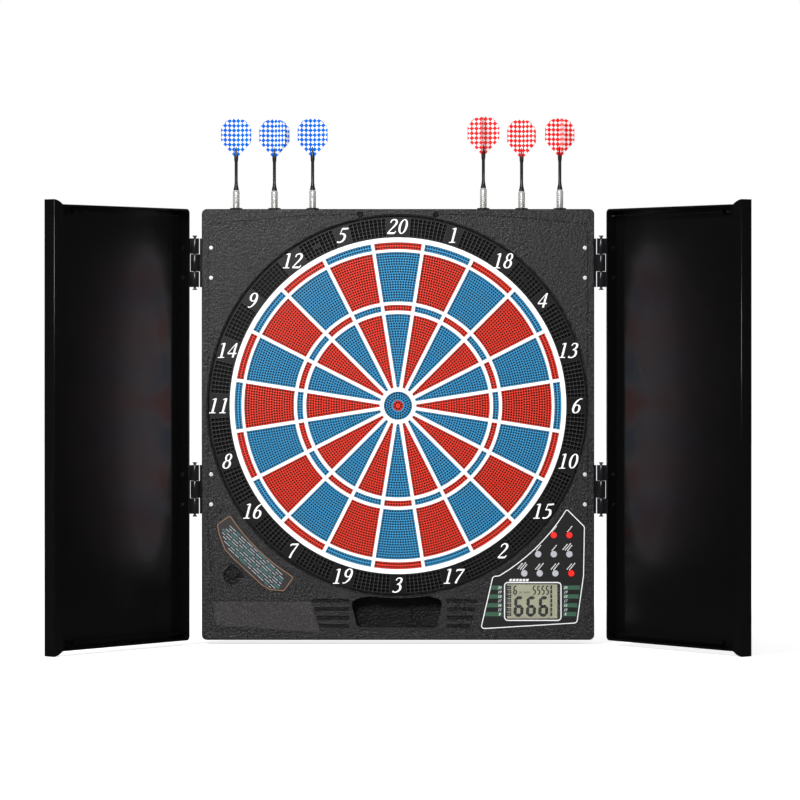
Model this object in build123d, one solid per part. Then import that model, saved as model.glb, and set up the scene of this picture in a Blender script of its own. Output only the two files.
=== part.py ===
from build123d import *
import math
import os

# Electronic soft-tip dart board in a shallow cabinet with two hinged doors.
# Origin: on the wall plane, straight behind the bull's-eye. +X right, +Y into the wall, +Z up.

# --- driving dimensions, mm ---
BODY_WIDTH = 460.0
BODY_TOP = 230.5
BODY_BOTTOM = -274.5
BODY_DEPTH = 45.0
CORNER = 6.0
WALL = 2.5
SPLIT_Y = -14.0  # where the front and rear shells meet

FACE_Y = -BODY_DEPTH
INSERT_DEPTH = 0.8  # overlay, label and card lie flush in recesses this deep

TARGET_RADIUS = 197.2
RING_RADIUS = 221.5
OPENING_RADIUS = 221.8
LIP_WIDTH = 3.0  # the opening's edge slopes in by this much
LIP_DEPTH = 2.4
WELL_RADIUS = 200.5  # inner wall that holds the target stack
WEB_BACK_Y = -36.0
WEB_BAR = 3.8
SEGMENT_FRONT_Y = -43.3
SEGMENT_BACK_Y = -35.0
SEGMENT_GAP = 0.3
SEGMENT_FLANGE = 0.9
SEGMENT_TRAVEL = 1.2
MAT_FRONT_Y = SEGMENT_BACK_Y + SEGMENT_TRAVEL + 0.3
MAT_BACK_Y = MAT_FRONT_Y + 2.0
FILM_BACK_Y = MAT_BACK_Y + 0.6
BOARD_BACK_Y = FILM_BACK_Y + 5.0
# ring name: inner and outer radius of the cells
RINGS = {
    "double_segments": (183.4, 191.6),
    "outer_single_segments": (122.0, 180.2),
    "triple_segments": (111.5, 118.3),
    "inner_single_segments": (21.4, 107.6),
}
OUTER_BULL_RADIUS = 16.6
INNER_BULL_RADIUS = 6.0
WEDGES = 20

DART_X = (-190.5, -145.5, -100.5, 100.5, 145.5, 190.5)
DART_Y = -22.5
# the two folded sheets of each flight, as angles about the dart; some are pressed flatter than a cross
FLIGHT_ANGLES = ((23, -23), (22, -45), (23, -23), (-10, 80), (25, -37), (22, 101))
DART_RISES = (0.3, -0.3, 0.5, 2.8, -0.8, 1.0)  # how much higher each dart stands in its sleeve
FLIGHT_TOP = 337.3
FLIGHT_HEIGHT = 44.8
FLIGHT_HALF_WIDTH = 18.9
FLIGHT_THICKNESS = 0.8
BARREL_RADIUS = 4.0
BARREL_TOP = 253.0
BARREL_LENGTH = 42.0
TIP_LENGTH = 25.0
SLEEVE_BORE = 4.35
SLEEVE_RADIUS = 6.0
SLEEVE_LENGTH = 22.0
SLEEVE_FLANGE = 7.4
SLEEVE_STAND = 1.8

HINGE_X = 238.0
HINGE_Y = -46.0
HINGE_Z = (167.5, -98.0)
HINGE_HEIGHT = 57.0
KNUCKLE_RADIUS = 5.0
KNUCKLE_GAP = 0.4
MIDDLE_KNUCKLE = 20.0
PIN_RADIUS = 1.5
PIN_CLEARANCE = 0.06
RIVET_X = 219.0
RIVET_SPREAD = 17.6

DOOR_OPEN = 128.7  # degrees from closed at rest
DOOR_TOP = 230.2
DOOR_BOTTOM = -274.2
DOOR_NEAR = 8.5  # from the hinge axis to the door's hinge-side wall
DOOR_FAR = 223.0
RAIL_FAR = 237.0
RAIL_FLANGE_NEAR = 205.0
RAIL_RISE = 5.4
DOOR_FRONT = -16.5  # from the hinge axis, towards the player when closed
DOOR_REAR = -0.5
DOOR_WALL = 2.2
RAIL_SCREW_U = 216.0
RAIL_SCREW_Z = (208.0, 52.0, -104.0, -260.0)

BUTTONS = {
    "power_button": (182.6, -151.6),
    "reset_button": (200.8, -151.6),
    "game_button": (164.3, -173.9),
    "score_button": (182.6, -173.9),
    "player_button": (200.8, -173.9),
    "handicap_button": (148.0, -196.3),
    "double_button": (166.1, -196.3),
    "bounce_button": (184.4, -196.3),
    "start_button": (203.1, -196.3),
}
BUTTON_RADIUS = 3.8
BUTTON_HOLE = 4.1
BUTTON_FLANGE = 4.9
BUTTON_PROUD = 1.4
BUTTON_TRAVEL = 1.0
BUTTON_BACK_Y = -41.3
KEYPAD_FRONT_Y = BUTTON_BACK_Y + BUTTON_TRAVEL + 0.1
KEYPAD_BACK_Y = KEYPAD_FRONT_Y + 1.8

LCD_CENTRE = (157.9, -229.4)
LCD_OPENING = (64.3, 42.8)

HOUSING_SCREWS = ((-218, 219), (218, 219), (-220, -266), (220, -266), (-70, -266), (70, -266))
FACE_SCREWS = ((-44.3, 224.2), (44.3, 224.2))  # driven from the front, at the bottom of round pockets
POCKET_RADIUS = 3.5
POCKET_FLOOR_Y = -40.5
HANGING_HOLE = (44.3, 212.0)  # hangs over a screw head up to 7 mm across; x is mirrored
HANGING_RADIUS = 4.0

BATTERY_BAY = (66.0, 60.0)
BATTERY_CENTRE_Z = -170.0
BATTERY_RADIUS = 7.1
BATTERY_LENGTH = 50.0

MID_Z = (BODY_TOP + BODY_BOTTOM) / 2
BODY_HEIGHT = BODY_TOP - BODY_BOTTOM


# --- helpers ---
def slab(sketch, front, back):
    """A sketch drawn in X and Z, made solid from y = front to y = back."""
    return extrude(Plane.XZ.offset(-back) * sketch, amount=back - front)


def ring(outer, inner, front, back):
    return slab(Circle(outer) - Circle(inner), front, back)


def block(x, y, z):
    """A box between the pairs x, y and z."""
    low = [min(pair) for pair in (x, y, z)]
    high = [max(pair) for pair in (x, y, z)]
    size = [b - a for a, b in zip(low, high)]
    middle = [(a + b) / 2 for a, b in zip(low, high)]
    return Pos(*middle) * Box(*size)


def rod(radius, centre, length, axis="z"):
    """A cylinder from centre, along +Z or +Y or +X."""
    turn = {"z": Rot(0, 0, 0), "y": Rot(-90, 0, 0), "x": Rot(0, 90, 0)}[axis]
    low = (Align.CENTER, Align.CENTER, Align.MIN)
    return Pos(*centre) * turn * Cylinder(radius, length, align=low)


def outline(points):
    return make_face(Polyline(*points, close=True))


def rounded(points, radius):
    return fillet(outline(points).vertices(), radius)


def groove(start, end, width=1.2, depth=0.8):
    """A straight shallow channel in the face from start to end."""
    length = math.dist(start, end)
    angle = math.degrees(math.atan2(end[1] - start[1], end[0] - start[0]))
    middle = ((start[0] + end[0]) / 2, (start[1] + end[1]) / 2)
    line = Pos(*middle) * Rot(0, 0, angle) * Rectangle(length + width, width)
    return slab(line, FACE_Y - 1, FACE_Y + depth)


def at_hinge(door_piece):
    """Turns a piece drawn with its door closed, hinge axis at 0, to the open door of the left side."""
    return Pos(-HINGE_X, HINGE_Y, 0) * Rot(0, 0, -DOOR_OPEN) * door_piece


def group(pieces):
    """Separate solids that share one node."""
    return Compound(children=[solid for piece in pieces for solid in piece.solids()])


def write(name, shape):
    export_step(group([shape]), f"parts/{name}.step")


# --- outlines on the face ---
def ring_point(radius, angle):
    """A point at radius from the bull's-eye, its angle in degrees from +X."""
    return (radius * math.cos(math.radians(angle)), radius * math.sin(math.radians(angle)))


def curved_outline(radius, start, end, points):
    """A face with an arc about the bull's-eye on one side and straight lines through points elsewhere."""
    first, middle, last = (ring_point(radius, a) for a in (start, (start + end) / 2, end))
    return make_face(Curve() + [ThreePointArc(first, middle, last), Polyline(last, *points, first)])


def panel_outline():
    """The control panel at the lower right."""
    corners = [
        (199.5, -122.5), (219.9, -142.5), (219.0, -198.7),
        (211.0, -256.0), (94.8, -263.2), (109.7, -199.7),
    ]
    return curved_outline(228.0, -61.2, -31.6, corners)


def card_outline(inset=0.0):
    """The game card at the lower left."""
    corners = [
        (-133.1, -218.3), (-150.8, -216.4), (-160.2, -210.8), (-193.8, -180.0),
        (-204.1, -168.8), (-210.6, -152.0), (-213.4, -139.0),
    ]
    face = curved_outline(233.2, 211.9, 239.8, corners)
    return offset(face, -inset) if inset else face


def label_outline(inset=0.0):
    """The blank label plate at the bottom left."""
    face = outline([(-217.0, -229.5), (-102.3, -229.5), (-91.0, -266.0), (-213.4, -257.0)])
    return offset(face, -inset) if inset else face


def tray_outline(grow=0.0):
    """The finger recess below the ring."""
    corners = [(52.8, -227.6), (45.2, -259.8), (-47.6, -259.8), (-55.8, -227.6)]
    face = curved_outline(225.4, 261.6, 278.9, corners)
    face = fillet(face.vertices().sort_by(Axis.Y)[:2], 5.5)
    sides = face.vertices().sort_by(Axis.X)
    face = fillet([sides[0], sides[-1]], 8)
    return offset(face, grow) if grow else face


def notch_outline():
    """A thumb notch beside the card: a half-round end and two straight sides."""
    centre = Pos(-194.3, -199.3) * Rot(0, 0, 45)
    return centre * (Circle(10.4) + Pos(5.2, 0) * Rectangle(10.4, 20.8))


def sector(inner, outer, bar, middle=90.0):
    """A ring cell between two straight bars: round inside and outside, 18 degrees wide less the bars."""
    half_wedge = 180.0 / WEDGES
    half_bar = bar / 2

    def corner(radius, side):
        swing = half_wedge - math.degrees(math.asin(half_bar / radius))
        return ring_point(radius, middle + side * swing)

    edges = [
        ThreePointArc(corner(outer, 1), ring_point(outer, middle), corner(outer, -1)),
        Line(corner(outer, -1), corner(inner, -1)),
        ThreePointArc(corner(inner, -1), ring_point(inner, middle), corner(inner, 1)),
        Line(corner(inner, 1), corner(outer, 1)),
    ]
    return make_face(Curve() + edges)


# --- body ---
def body_block(front, back, inset=0.0):
    shape = RectangleRounded(BODY_WIDTH - 2 * inset, BODY_HEIGHT - 2 * inset, CORNER - inset)
    return slab(Pos(0, MID_Z) * shape, front, back)


def make_front_housing():
    housing = body_block(FACE_Y, SPLIT_Y)
    housing = fillet(housing.faces().sort_by(Axis.Y)[0].edges(), 1.5)
    housing -= body_block(FACE_Y + WALL, SPLIT_Y, WALL)
    # well for the ring and the target
    housing += ring(OPENING_RADIUS + WALL, OPENING_RADIUS, FACE_Y + 1, -30)
    housing += ring(OPENING_RADIUS + WALL, WELL_RADIUS, -38.9, -36.9)
    housing += ring(WELL_RADIUS + 2, WELL_RADIUS, -38.9, -24)
    housing -= slab(Circle(OPENING_RADIUS), FACE_Y - 1, -38.9)
    low = (Align.CENTER, Align.CENTER, Align.MIN)
    lip = Cone(OPENING_RADIUS + LIP_WIDTH, OPENING_RADIUS, LIP_DEPTH, align=low)
    housing -= Pos(0, FACE_Y, 0) * Rot(-90, 0, 0) * lip
    # finger recess, thumb notch and screw bosses
    housing += slab(tray_outline(2.0), FACE_Y + 1, -15) - slab(Circle(OPENING_RADIUS), FACE_Y, -30)
    housing += slab(tray_outline(1.1) - Circle(OPENING_RADIUS + LIP_WIDTH), FACE_Y - 0.4, FACE_Y + 1)
    housing -= slab(tray_outline(), FACE_Y - 1, -17)
    housing += slab(offset(notch_outline(), 1.8), FACE_Y + 1, -39)
    housing -= slab(notch_outline(), FACE_Y - 1, -41)
    tongue = Pos(-194.3, -199.3) * Rot(0, 0, 45) * Pos(3.5, 0) * Rectangle(9, 7)
    housing += slab(tongue, -43.4, -40)
    for x, z in HOUSING_SCREWS:
        housing += rod(4.0, (x, FACE_Y + 1, z), SPLIT_Y - FACE_Y - 1, "y")
        housing -= rod(1.3, (x, -30, z), 20, "y")
    for x, z in FACE_SCREWS:
        tube = rod(POCKET_RADIUS + 2, (x, FACE_Y + 1, z), SPLIT_Y - FACE_Y - 1, "y")
        tube -= block((x - 9, x + 9), (-46, 0), (BODY_TOP - 1, BODY_TOP + 9))
        housing += tube - slab(Circle(OPENING_RADIUS), FACE_Y, -30)
        housing -= rod(POCKET_RADIUS, (x, FACE_Y - 1, z), POCKET_FLOOR_Y - FACE_Y + 1, "y")
        housing -= rod(1.6, (x, POCKET_FLOOR_Y - 1, z), 30, "y")
    # recesses for the overlay, the label and the card
    for face in (panel_outline(), label_outline(), card_outline()):
        housing -= slab(face, FACE_Y - 1, FACE_Y + INSERT_DEPTH)
    for x, z in BUTTONS.values():
        housing -= rod(BUTTON_HOLE, (x, FACE_Y - 1, z), 6, "y")
    housing -= slab(Pos(*LCD_CENTRE) * Rectangle(*LCD_OPENING), FACE_Y - 1, FACE_Y + 6)
    # ribbed zones either side of the recess
    for i in range(4):
        z = -228.6 - 9.9 * i
        slant = 2.9 * i
        left, right = Rectangle(44 - slant, 4.6), Rectangle(36 - slant, 4.6)
        housing -= slab(Pos(-(101.0 - slant + 57) / 2, z) * left, FACE_Y - 1, FACE_Y + 1.2)
        housing -= slab(Pos((93.0 - slant + 57) / 2, z) * right, FACE_Y - 1, FACE_Y + 1.2)
    # shallow lines that set the raised field apart
    for side in (-1, 1):
        corners = [(222.5, 40), (222.5, 208), (220, 213.6), (115, 222.4), (50, 224.2)]
        for start, end in zip(corners, corners[1:]):
            housing -= groove((side * start[0], start[1]), (side * end[0], end[1]))
        housing -= groove((side * 222.5, -40), (side * 222.5, -138))
    housing -= groove((-222.5, -138), (-205, -121))
    housing -= groove((-222.5, -138), (-217.5, -229))
    # holes for the dart sleeves and the hinge leaves
    for x in DART_X:
        housing -= rod(SLEEVE_RADIUS, (x, DART_Y, BODY_TOP - 6), 8)
    for side in (-1, 1):
        for z in HINGE_Z:
            half = HINGE_HEIGHT / 2
            housing -= block((side * 226, side * 232), (-42.5, -41.0), (z - half, z + half))
            for shift in (-RIVET_SPREAD, RIVET_SPREAD):
                housing -= rod(1.8, (side * RIVET_X, FACE_Y - 1, z + shift), 5, "y")
    return housing


def make_rear_housing():
    housing = body_block(SPLIT_Y, 0)
    housing = fillet(housing.faces().sort_by(Axis.Y)[-1].edges(), 1.5)
    housing -= body_block(SPLIT_Y, -WALL, WALL)
    housing -= slab(Pos(0, MID_Z) * RectangleRounded(404, 440, 10), -1.0, 1)
    bay_x, bay_z = BATTERY_BAY
    low, high = BATTERY_CENTRE_Z - bay_z / 2, BATTERY_CENTRE_Z + bay_z / 2
    housing += block((-bay_x / 2 - 2, bay_x / 2 + 2), (-20, -1.0), (low - 2, high + 2))
    housing -= block((-bay_x / 2, bay_x / 2), (-18, 1), (low, high))
    housing -= block((-bay_x / 2 - 2, bay_x / 2 + 2), (-3.0, 1), (low - 1, high + 1))
    for x, z in HOUSING_SCREWS:
        housing += rod(5.0, (x, SPLIT_Y, z), -SPLIT_Y - 0.5, "y")
        housing -= rod(1.5, (x, SPLIT_Y - 1, z), 20, "y")
        housing -= rod(3.6, (x, -3.0, z), 4, "y")
    for x, z in FACE_SCREWS:
        post = rod(POCKET_RADIUS + 1, (x, SPLIT_Y, z), -SPLIT_Y - 0.5, "y")
        housing += post - block((x - 9, x + 9), (-46, 1), (BODY_TOP - 1, BODY_TOP + 9))
        housing -= rod(1.3, (x, SPLIT_Y - 1, z), 9, "y")
    for side in (-1, 1):
        hole = Pos(side * HANGING_HOLE[0], HANGING_HOLE[1]) * Circle(HANGING_RADIUS)
        housing -= slab(hole, -WALL - 2, 1)
    return housing & body_block(SPLIT_Y - 6, 0)


def make_battery_cover():
    bay_x, bay_z = BATTERY_BAY
    low, high = BATTERY_CENTRE_Z - bay_z / 2, BATTERY_CENTRE_Z + bay_z / 2
    cover = block((-bay_x / 2 - 1.7, bay_x / 2 + 1.7), (-2.9, -1.1), (low - 0.7, high + 0.7))
    for i in range(4):
        cover -= block((-12, 12), (-1.6, 0), (low + 6 + 3 * i, low + 7.4 + 3 * i))
    return cover


def make_batteries():
    cells = []
    for i in range(3):
        z = BATTERY_CENTRE_Z + (i - 1) * 16.0
        cell = rod(BATTERY_RADIUS, (-BATTERY_LENGTH / 2, -10.8, z), BATTERY_LENGTH - 1.4, "x")
        cells.append(cell + rod(2.6, (BATTERY_LENGTH / 2 - 1.5, -10.8, z), 1.5, "x"))
    return group(cells)


def make_spider_web():
    face = Circle(TARGET_RADIUS)
    for inner, outer in RINGS.values():
        cell = sector(inner, outer, WEB_BAR)
        cells = [Rot(0, 0, 360.0 / WEDGES * i) * cell for i in range(WEDGES)]
        face -= cells
    face -= Circle(OUTER_BULL_RADIUS)
    return slab(face, FACE_Y, WEB_BACK_Y)


def make_segments(inner, outer):
    """Twenty loose segments, each with a flange behind the web that keeps it in."""
    gap, wide = SEGMENT_GAP, SEGMENT_FLANGE
    front = sector(inner + gap, outer - gap, WEB_BAR + 2 * gap)
    flange = sector(inner - wide, outer + wide, WEB_BAR - 2 * wide)
    flange_front = WEB_BACK_Y + 0.1
    segment = slab(front, SEGMENT_FRONT_Y, flange_front) + slab(flange, flange_front, SEGMENT_BACK_Y)
    return group([Rot(0, 360.0 / WEDGES * i, 0) * segment for i in range(WEDGES)])


def make_outer_bull():
    outer, inner = OUTER_BULL_RADIUS - SEGMENT_GAP, INNER_BULL_RADIUS + SEGMENT_GAP
    body = ring(outer, inner, SEGMENT_FRONT_Y, WEB_BACK_Y + 0.1)
    return body + ring(OUTER_BULL_RADIUS + SEGMENT_FLANGE, inner, WEB_BACK_Y + 0.1, SEGMENT_BACK_Y)


def make_inner_bull():
    return slab(Circle(INNER_BULL_RADIUS), SEGMENT_FRONT_Y, SEGMENT_BACK_Y)


def make_membrane():
    """The switch film behind the mat, with a tail that runs down to the circuit board."""
    tail = Pos(147.0, -143.0) * Rot(0, 0, -44) * Rectangle(30, 14)
    return slab(Circle(198) + (tail & Circle(200)), MAT_BACK_Y, FILM_BACK_Y)


def make_circuit_board():
    points = [(124, -205), (150, -186), (170, -166), (190, -142), (214, -142), (214, -260), (124, -260)]
    return slab(outline(points), KEYPAD_BACK_Y, KEYPAD_BACK_Y + 1.6)


def make_keypad():
    points = [(141, -203), (141, -195), (178, -146), (209, -146), (209, -203)]
    return slab(rounded(points, 2), KEYPAD_FRONT_Y, KEYPAD_BACK_Y)


def make_control_overlay():
    face = offset(panel_outline(), -0.15)
    for x, z in BUTTONS.values():
        face -= Pos(x, z) * Circle(BUTTON_HOLE)
    face -= Pos(*LCD_CENTRE) * Rectangle(*LCD_OPENING)
    return slab(face, FACE_Y, FACE_Y + INSERT_DEPTH)


def make_button(x, z):
    front = FACE_Y - BUTTON_PROUD
    cap = rod(BUTTON_RADIUS, (x, front, z), BUTTON_BACK_Y - front, "y")
    cap = fillet(cap.faces().sort_by(Axis.Y)[0].edges(), 0.7)
    return cap + rod(BUTTON_FLANGE, (x, BUTTON_BACK_Y - 1.0, z), 1.0, "y")


def make_speaker():
    x, z = -79.0, -243.5
    magnet = rod(9.0, (x, -36.0, z), 6.0, "y")
    return rod(16.5, (x, -42.5, z), 3.0, "y") + rod(13.0, (x, -39.5, z), 3.5, "y") + magnet


def make_dart_sleeves():
    sleeves = []
    for x in DART_X:
        sleeve = rod(SLEEVE_RADIUS, (x, DART_Y, BODY_TOP - SLEEVE_LENGTH), SLEEVE_LENGTH)
        flange = rod(SLEEVE_FLANGE, (x, DART_Y, BODY_TOP), SLEEVE_STAND)
        flange = fillet(flange.faces().sort_by(Axis.Z)[-1].edges(), 0.8)
        bore = rod(SLEEVE_BORE, (x, DART_Y, BODY_TOP - 30), 40)
        sleeves.append(sleeve + flange - bore)
    return group(sleeves)


def make_housing_screws():
    head = rod(3.2, (0, -3.0, 0), 2.2, "y")
    shank = rod(1.3, (0, -26.0, 0), 23.0, "y")
    return group([Pos(x, 0, z) * (head + shank) for x, z in HOUSING_SCREWS])


def make_face_screws():
    head = rod(3.0, (0, POCKET_FLOOR_Y - 2.0, 0), 2.0, "y")
    shank = rod(1.3, (0, POCKET_FLOOR_Y, 0), 33.0, "y")
    return group([Pos(x, 0, z) * (head + shank) for x, z in FACE_SCREWS])


# --- darts ---
def make_dart_body(x):
    """Tip, barrel and stem of one dart, as three solids in line."""
    barrel_bottom = BARREL_TOP - BARREL_LENGTH
    tip_profile = [(0, 0), (0.8, 0), (1.3, 18), (2.6, 20), (2.6, TIP_LENGTH), (0, TIP_LENGTH)]
    tip = revolve(Plane.XZ * outline(tip_profile), Axis.Z)
    barrel_profile = [
        (0, 0), (2.9, 0), (BARREL_RADIUS, 6), (BARREL_RADIUS, 38),
        (3.2, BARREL_LENGTH), (0, BARREL_LENGTH),
    ]
    barrel = revolve(Plane.XZ * outline(barrel_profile), Axis.Z)
    stem_top = FLIGHT_TOP - FLIGHT_HEIGHT - BARREL_TOP
    stem_profile = [
        (0, 0), (3.1, 0), (3.1, 3), (1.8, 9),
        (1.8, stem_top - 4), (2.2, stem_top - 3), (2.2, stem_top), (0, stem_top),
    ]
    stem = revolve(Plane.XZ * outline(stem_profile), Axis.Z)
    place = Pos(x, DART_Y, 0)
    return group([
        place * Pos(0, 0, barrel_bottom - TIP_LENGTH) * tip,
        place * Pos(0, 0, barrel_bottom) * barrel,
        place * Pos(0, 0, BARREL_TOP) * stem,
    ])


def make_flight(x, angles):
    """Two thin sheets crossed on the dart's axis, which makes four vanes."""
    half = FLIGHT_HALF_WIDTH
    right = [
        (2.2, 0), (half - 1.2, 16.0), (half, 18.5), (half, 33), (half - 3.6, 39),
        (half - 8.5, 42.6), (2.5, FLIGHT_HEIGHT),
    ]
    left = [(-a, b) for a, b in reversed(right)]
    vane = extrude(Plane.XZ * outline(right + left), amount=FLIGHT_THICKNESS / 2, both=True)
    cross = Rot(0, 0, angles[0]) * vane + Rot(0, 0, angles[1]) * vane
    return Pos(x, DART_Y, FLIGHT_TOP - FLIGHT_HEIGHT) * cross


# --- hinges ---
def knuckle_spans(z):
    """The lower, middle and upper knuckle of one hinge, as pairs of heights."""
    half, middle = HINGE_HEIGHT / 2, MIDDLE_KNUCKLE / 2
    inner = middle + KNUCKLE_GAP
    return (z - half, z - inner), (z - middle, z + middle), (z + inner, z + half)


def make_body_leaves():
    leaves = []
    for z in HINGE_Z:
        middle = knuckle_spans(z)[1]
        half = HINGE_HEIGHT / 2
        leaf = block((-232.4, -214.0), (-42.5, -41.0), (z - half, z + half))
        leaf += block((-HINGE_X, -232.0), (-42.5, -41.0), middle)
        leaf += rod(KNUCKLE_RADIUS, (-HINGE_X, HINGE_Y, middle[0]), MIDDLE_KNUCKLE)
        leaf -= rod(PIN_RADIUS, (-HINGE_X, HINGE_Y, z - half), HINGE_HEIGHT)
        for shift in (-RIVET_SPREAD, RIVET_SPREAD):
            leaf -= rod(1.8, (-RIVET_X, FACE_Y, z + shift), 5, "y")
        leaves += [leaf, mirror(leaf, about=Plane.YZ)]
    return group(leaves)


def make_hinge_pins():
    pins = []
    for z in HINGE_Z:
        low = z - HINGE_HEIGHT / 2 - 2.2
        pin = rod(PIN_RADIUS, (-HINGE_X, HINGE_Y, low), HINGE_HEIGHT + 4.4)
        pin += rod(2.6, (-HINGE_X, HINGE_Y, low - 1.2), 1.5)
        pin += rod(2.6, (-HINGE_X, HINGE_Y, 2 * z - low - 0.3), 1.5)
        pins += [pin, mirror(pin, about=Plane.YZ)]
    return group(pins)


def make_hinge_rivets():
    rivets = []
    for side in (-1, 1):
        for z in HINGE_Z:
            for shift in (-RIVET_SPREAD, RIVET_SPREAD):
                head = rod(2.4, (side * RIVET_X, FACE_Y - 1.2, z + shift), 1.2, "y")
                head = fillet(head.faces().sort_by(Axis.Y)[0].edges(), 0.9)
                rivet = head + rod(1.8, (side * RIVET_X, FACE_Y, z + shift), 4.0, "y")
                rivets.append(rivet + rod(2.8, (side * RIVET_X, -41.0, z + shift), 0.9, "y"))
    return group(rivets)


def make_door_leaves():
    """The door's halves of the two hinges: a plate on the door's edge with two knuckles each."""
    leaves = []
    for z in HINGE_Z:
        half = HINGE_HEIGHT / 2
        leaf = block((DOOR_NEAR - 1.5, DOOR_NEAR), (-15.5, -1.0), (z - half, z + half))
        lower, middle, upper = knuckle_spans(z)
        for low, high in (lower, upper):
            leaf += rod(KNUCKLE_RADIUS, (0, 0, low), high - low)
            leaf += block((2.5, DOOR_NEAR), (-4.6, -1.2), (low, high))
            leaf -= rod(PIN_RADIUS + PIN_CLEARANCE, (0, 0, low - 1), high - low + 2)
        for shift in (-RIVET_SPREAD, RIVET_SPREAD):
            leaf -= rod(1.4, (DOOR_NEAR - 2, -9.5, z + shift), 3, "x")
        leaves.append(leaf)
    return group(leaves)


def make_door_rivets():
    rivets = []
    for z in HINGE_Z:
        for shift in (-RIVET_SPREAD, RIVET_SPREAD):
            rivet = rod(1.4, (DOOR_NEAR - 1.5, -9.5, z + shift), 1.5 + DOOR_WALL, "x")
            rivet += rod(2.5, (DOOR_NEAR - 2.4, -9.5, z + shift), 0.9, "x")
            rivets.append(rivet + rod(2.5, (DOOR_NEAR + DOOR_WALL, -9.5, z + shift), 0.9, "x"))
    return group(rivets)


# --- doors ---
def make_door_shell():
    """A shallow tray, open towards the board and at the side of the grip rail."""
    heights = (DOOR_BOTTOM, DOOR_TOP)
    shell = block((DOOR_NEAR, DOOR_FAR), (DOOR_FRONT, DOOR_REAR), heights)
    hinge_edges = shell.edges().filter_by(Axis.Y).group_by(Axis.X)[0]
    shell = fillet(hinge_edges, 5)
    shell = fillet(shell.faces().sort_by(Axis.Y)[0].edges().group_by(Axis.X)[0], 1.2)
    inside = block(
        (DOOR_NEAR + DOOR_WALL, DOOR_FAR + 1),
        (DOOR_FRONT + DOOR_WALL, DOOR_REAR + 1),
        (DOOR_BOTTOM + DOOR_WALL, DOOR_TOP - DOOR_WALL),
    )
    shell -= fillet(inside.edges().filter_by(Axis.Y).group_by(Axis.X)[0], 3)
    rib_back = DOOR_FRONT + DOOR_WALL + 7
    for z in (DOOR_TOP - 8.0, DOOR_BOTTOM + 8.0):
        shell += block((DOOR_NEAR + 1, 195), (DOOR_FRONT + 1, rib_back), (z - 0.8, z + 0.8))
        shell += rod(2.6, (195, DOOR_FRONT + 1, z), rib_back - DOOR_FRONT - 1, "y")
    # pilot holes for the rail screws and holes for the hinge rivets
    for z in RAIL_SCREW_Z:
        shell -= rod(1.2, (RAIL_SCREW_U, DOOR_FRONT + 0.8, z), 4, "y")
    for z in HINGE_Z:
        for shift in (-RIVET_SPREAD, RIVET_SPREAD):
            shell -= rod(1.4, (DOOR_NEAR - 1, -9.5, z + shift), 4, "x")
    return shell


def make_grip_rail():
    """An L-shaped rail: a flange screwed into the tray and a full-depth post with arched ends."""
    top, bottom = DOOR_TOP + RAIL_RISE, DOOR_BOTTOM - RAIL_RISE
    swell = RAIL_RISE * 0.72
    middle = (DOOR_FAR + RAIL_FAR) / 2
    edges = [
        ThreePointArc((DOOR_FAR, DOOR_TOP), (middle, DOOR_TOP + swell), (RAIL_FAR, top)),
        Line((RAIL_FAR, top), (RAIL_FAR, bottom)),
        ThreePointArc((RAIL_FAR, bottom), (middle, DOOR_BOTTOM - swell), (DOOR_FAR, DOOR_BOTTOM)),
        Line((DOOR_FAR, DOOR_BOTTOM), (DOOR_FAR, DOOR_TOP)),
    ]
    post = slab(make_face(Curve() + edges), DOOR_FRONT, DOOR_REAR)
    post = fillet(post.edges().filter_by(Axis.Z).group_by(Axis.X)[-1], 1.2)
    flange_front = DOOR_FRONT + DOOR_WALL
    rail = post + block(
        (RAIL_FLANGE_NEAR, DOOR_FAR + 1),
        (flange_front, flange_front + 2.0),
        (DOOR_BOTTOM + 12, DOOR_TOP - 12),
    )
    for z in RAIL_SCREW_Z:
        rail -= rod(1.2, (RAIL_SCREW_U, DOOR_FRONT, z), 6, "y")
    return rail


def make_rail_screws():
    screws = []
    head_y = DOOR_FRONT + DOOR_WALL + 2.0
    for z in RAIL_SCREW_Z:
        head = rod(3.0, (RAIL_SCREW_U, head_y, z), 1.6, "y")
        head = fillet(head.faces().sort_by(Axis.Y)[-1].edges(), 0.8)
        slot = Pos(RAIL_SCREW_U, head_y + 1.9, z) * Box(3.6, 2.0, 0.6)
        shank = rod(1.2, (RAIL_SCREW_U, DOOR_FRONT + 0.9, z), head_y - DOOR_FRONT - 0.9, "y")
        screws.append(head + shank - slot)
    return group(screws)


os.makedirs("parts", exist_ok=True)

write("front_housing", make_front_housing())
write("rear_housing", make_rear_housing())
write("battery_cover", make_battery_cover())
write("batteries", make_batteries())
write("number_ring", ring(RING_RADIUS, TARGET_RADIUS + 0.2, -44.4, -38.9))
write("spider_web", make_spider_web())
for ring_name, (inner_radius, outer_radius) in RINGS.items():
    write(ring_name, make_segments(inner_radius, outer_radius))
write("outer_bull", make_outer_bull())
write("inner_bull", make_inner_bull())
write("rubber_mat", slab(Circle(198), MAT_FRONT_Y, MAT_BACK_Y))
write("sensor_membrane", make_membrane())
write("backing_board", slab(Circle(WELL_RADIUS), FILM_BACK_Y, BOARD_BACK_Y))
write("circuit_board", make_circuit_board())
write("keypad", make_keypad())
write("speaker", make_speaker())
write("control_overlay", make_control_overlay())
write("lcd_window", slab(Pos(*LCD_CENTRE) * Rectangle(64.1, 42.6), FACE_Y, -44.2))
write("lcd_panel", slab(Pos(*LCD_CENTRE) * Rectangle(63.5, 42.0), -43.3, KEYPAD_BACK_Y))
write("label_plate", slab(label_outline(0.15), FACE_Y, FACE_Y + INSERT_DEPTH))
write("game_card", slab(card_outline(0.35), FACE_Y, FACE_Y + 0.7))
for button, (button_x, button_z) in BUTTONS.items():
    write(button, make_button(button_x, button_z))
write("dart_sleeves", make_dart_sleeves())
write("housing_screws", make_housing_screws())
write("face_screws", make_face_screws())
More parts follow.
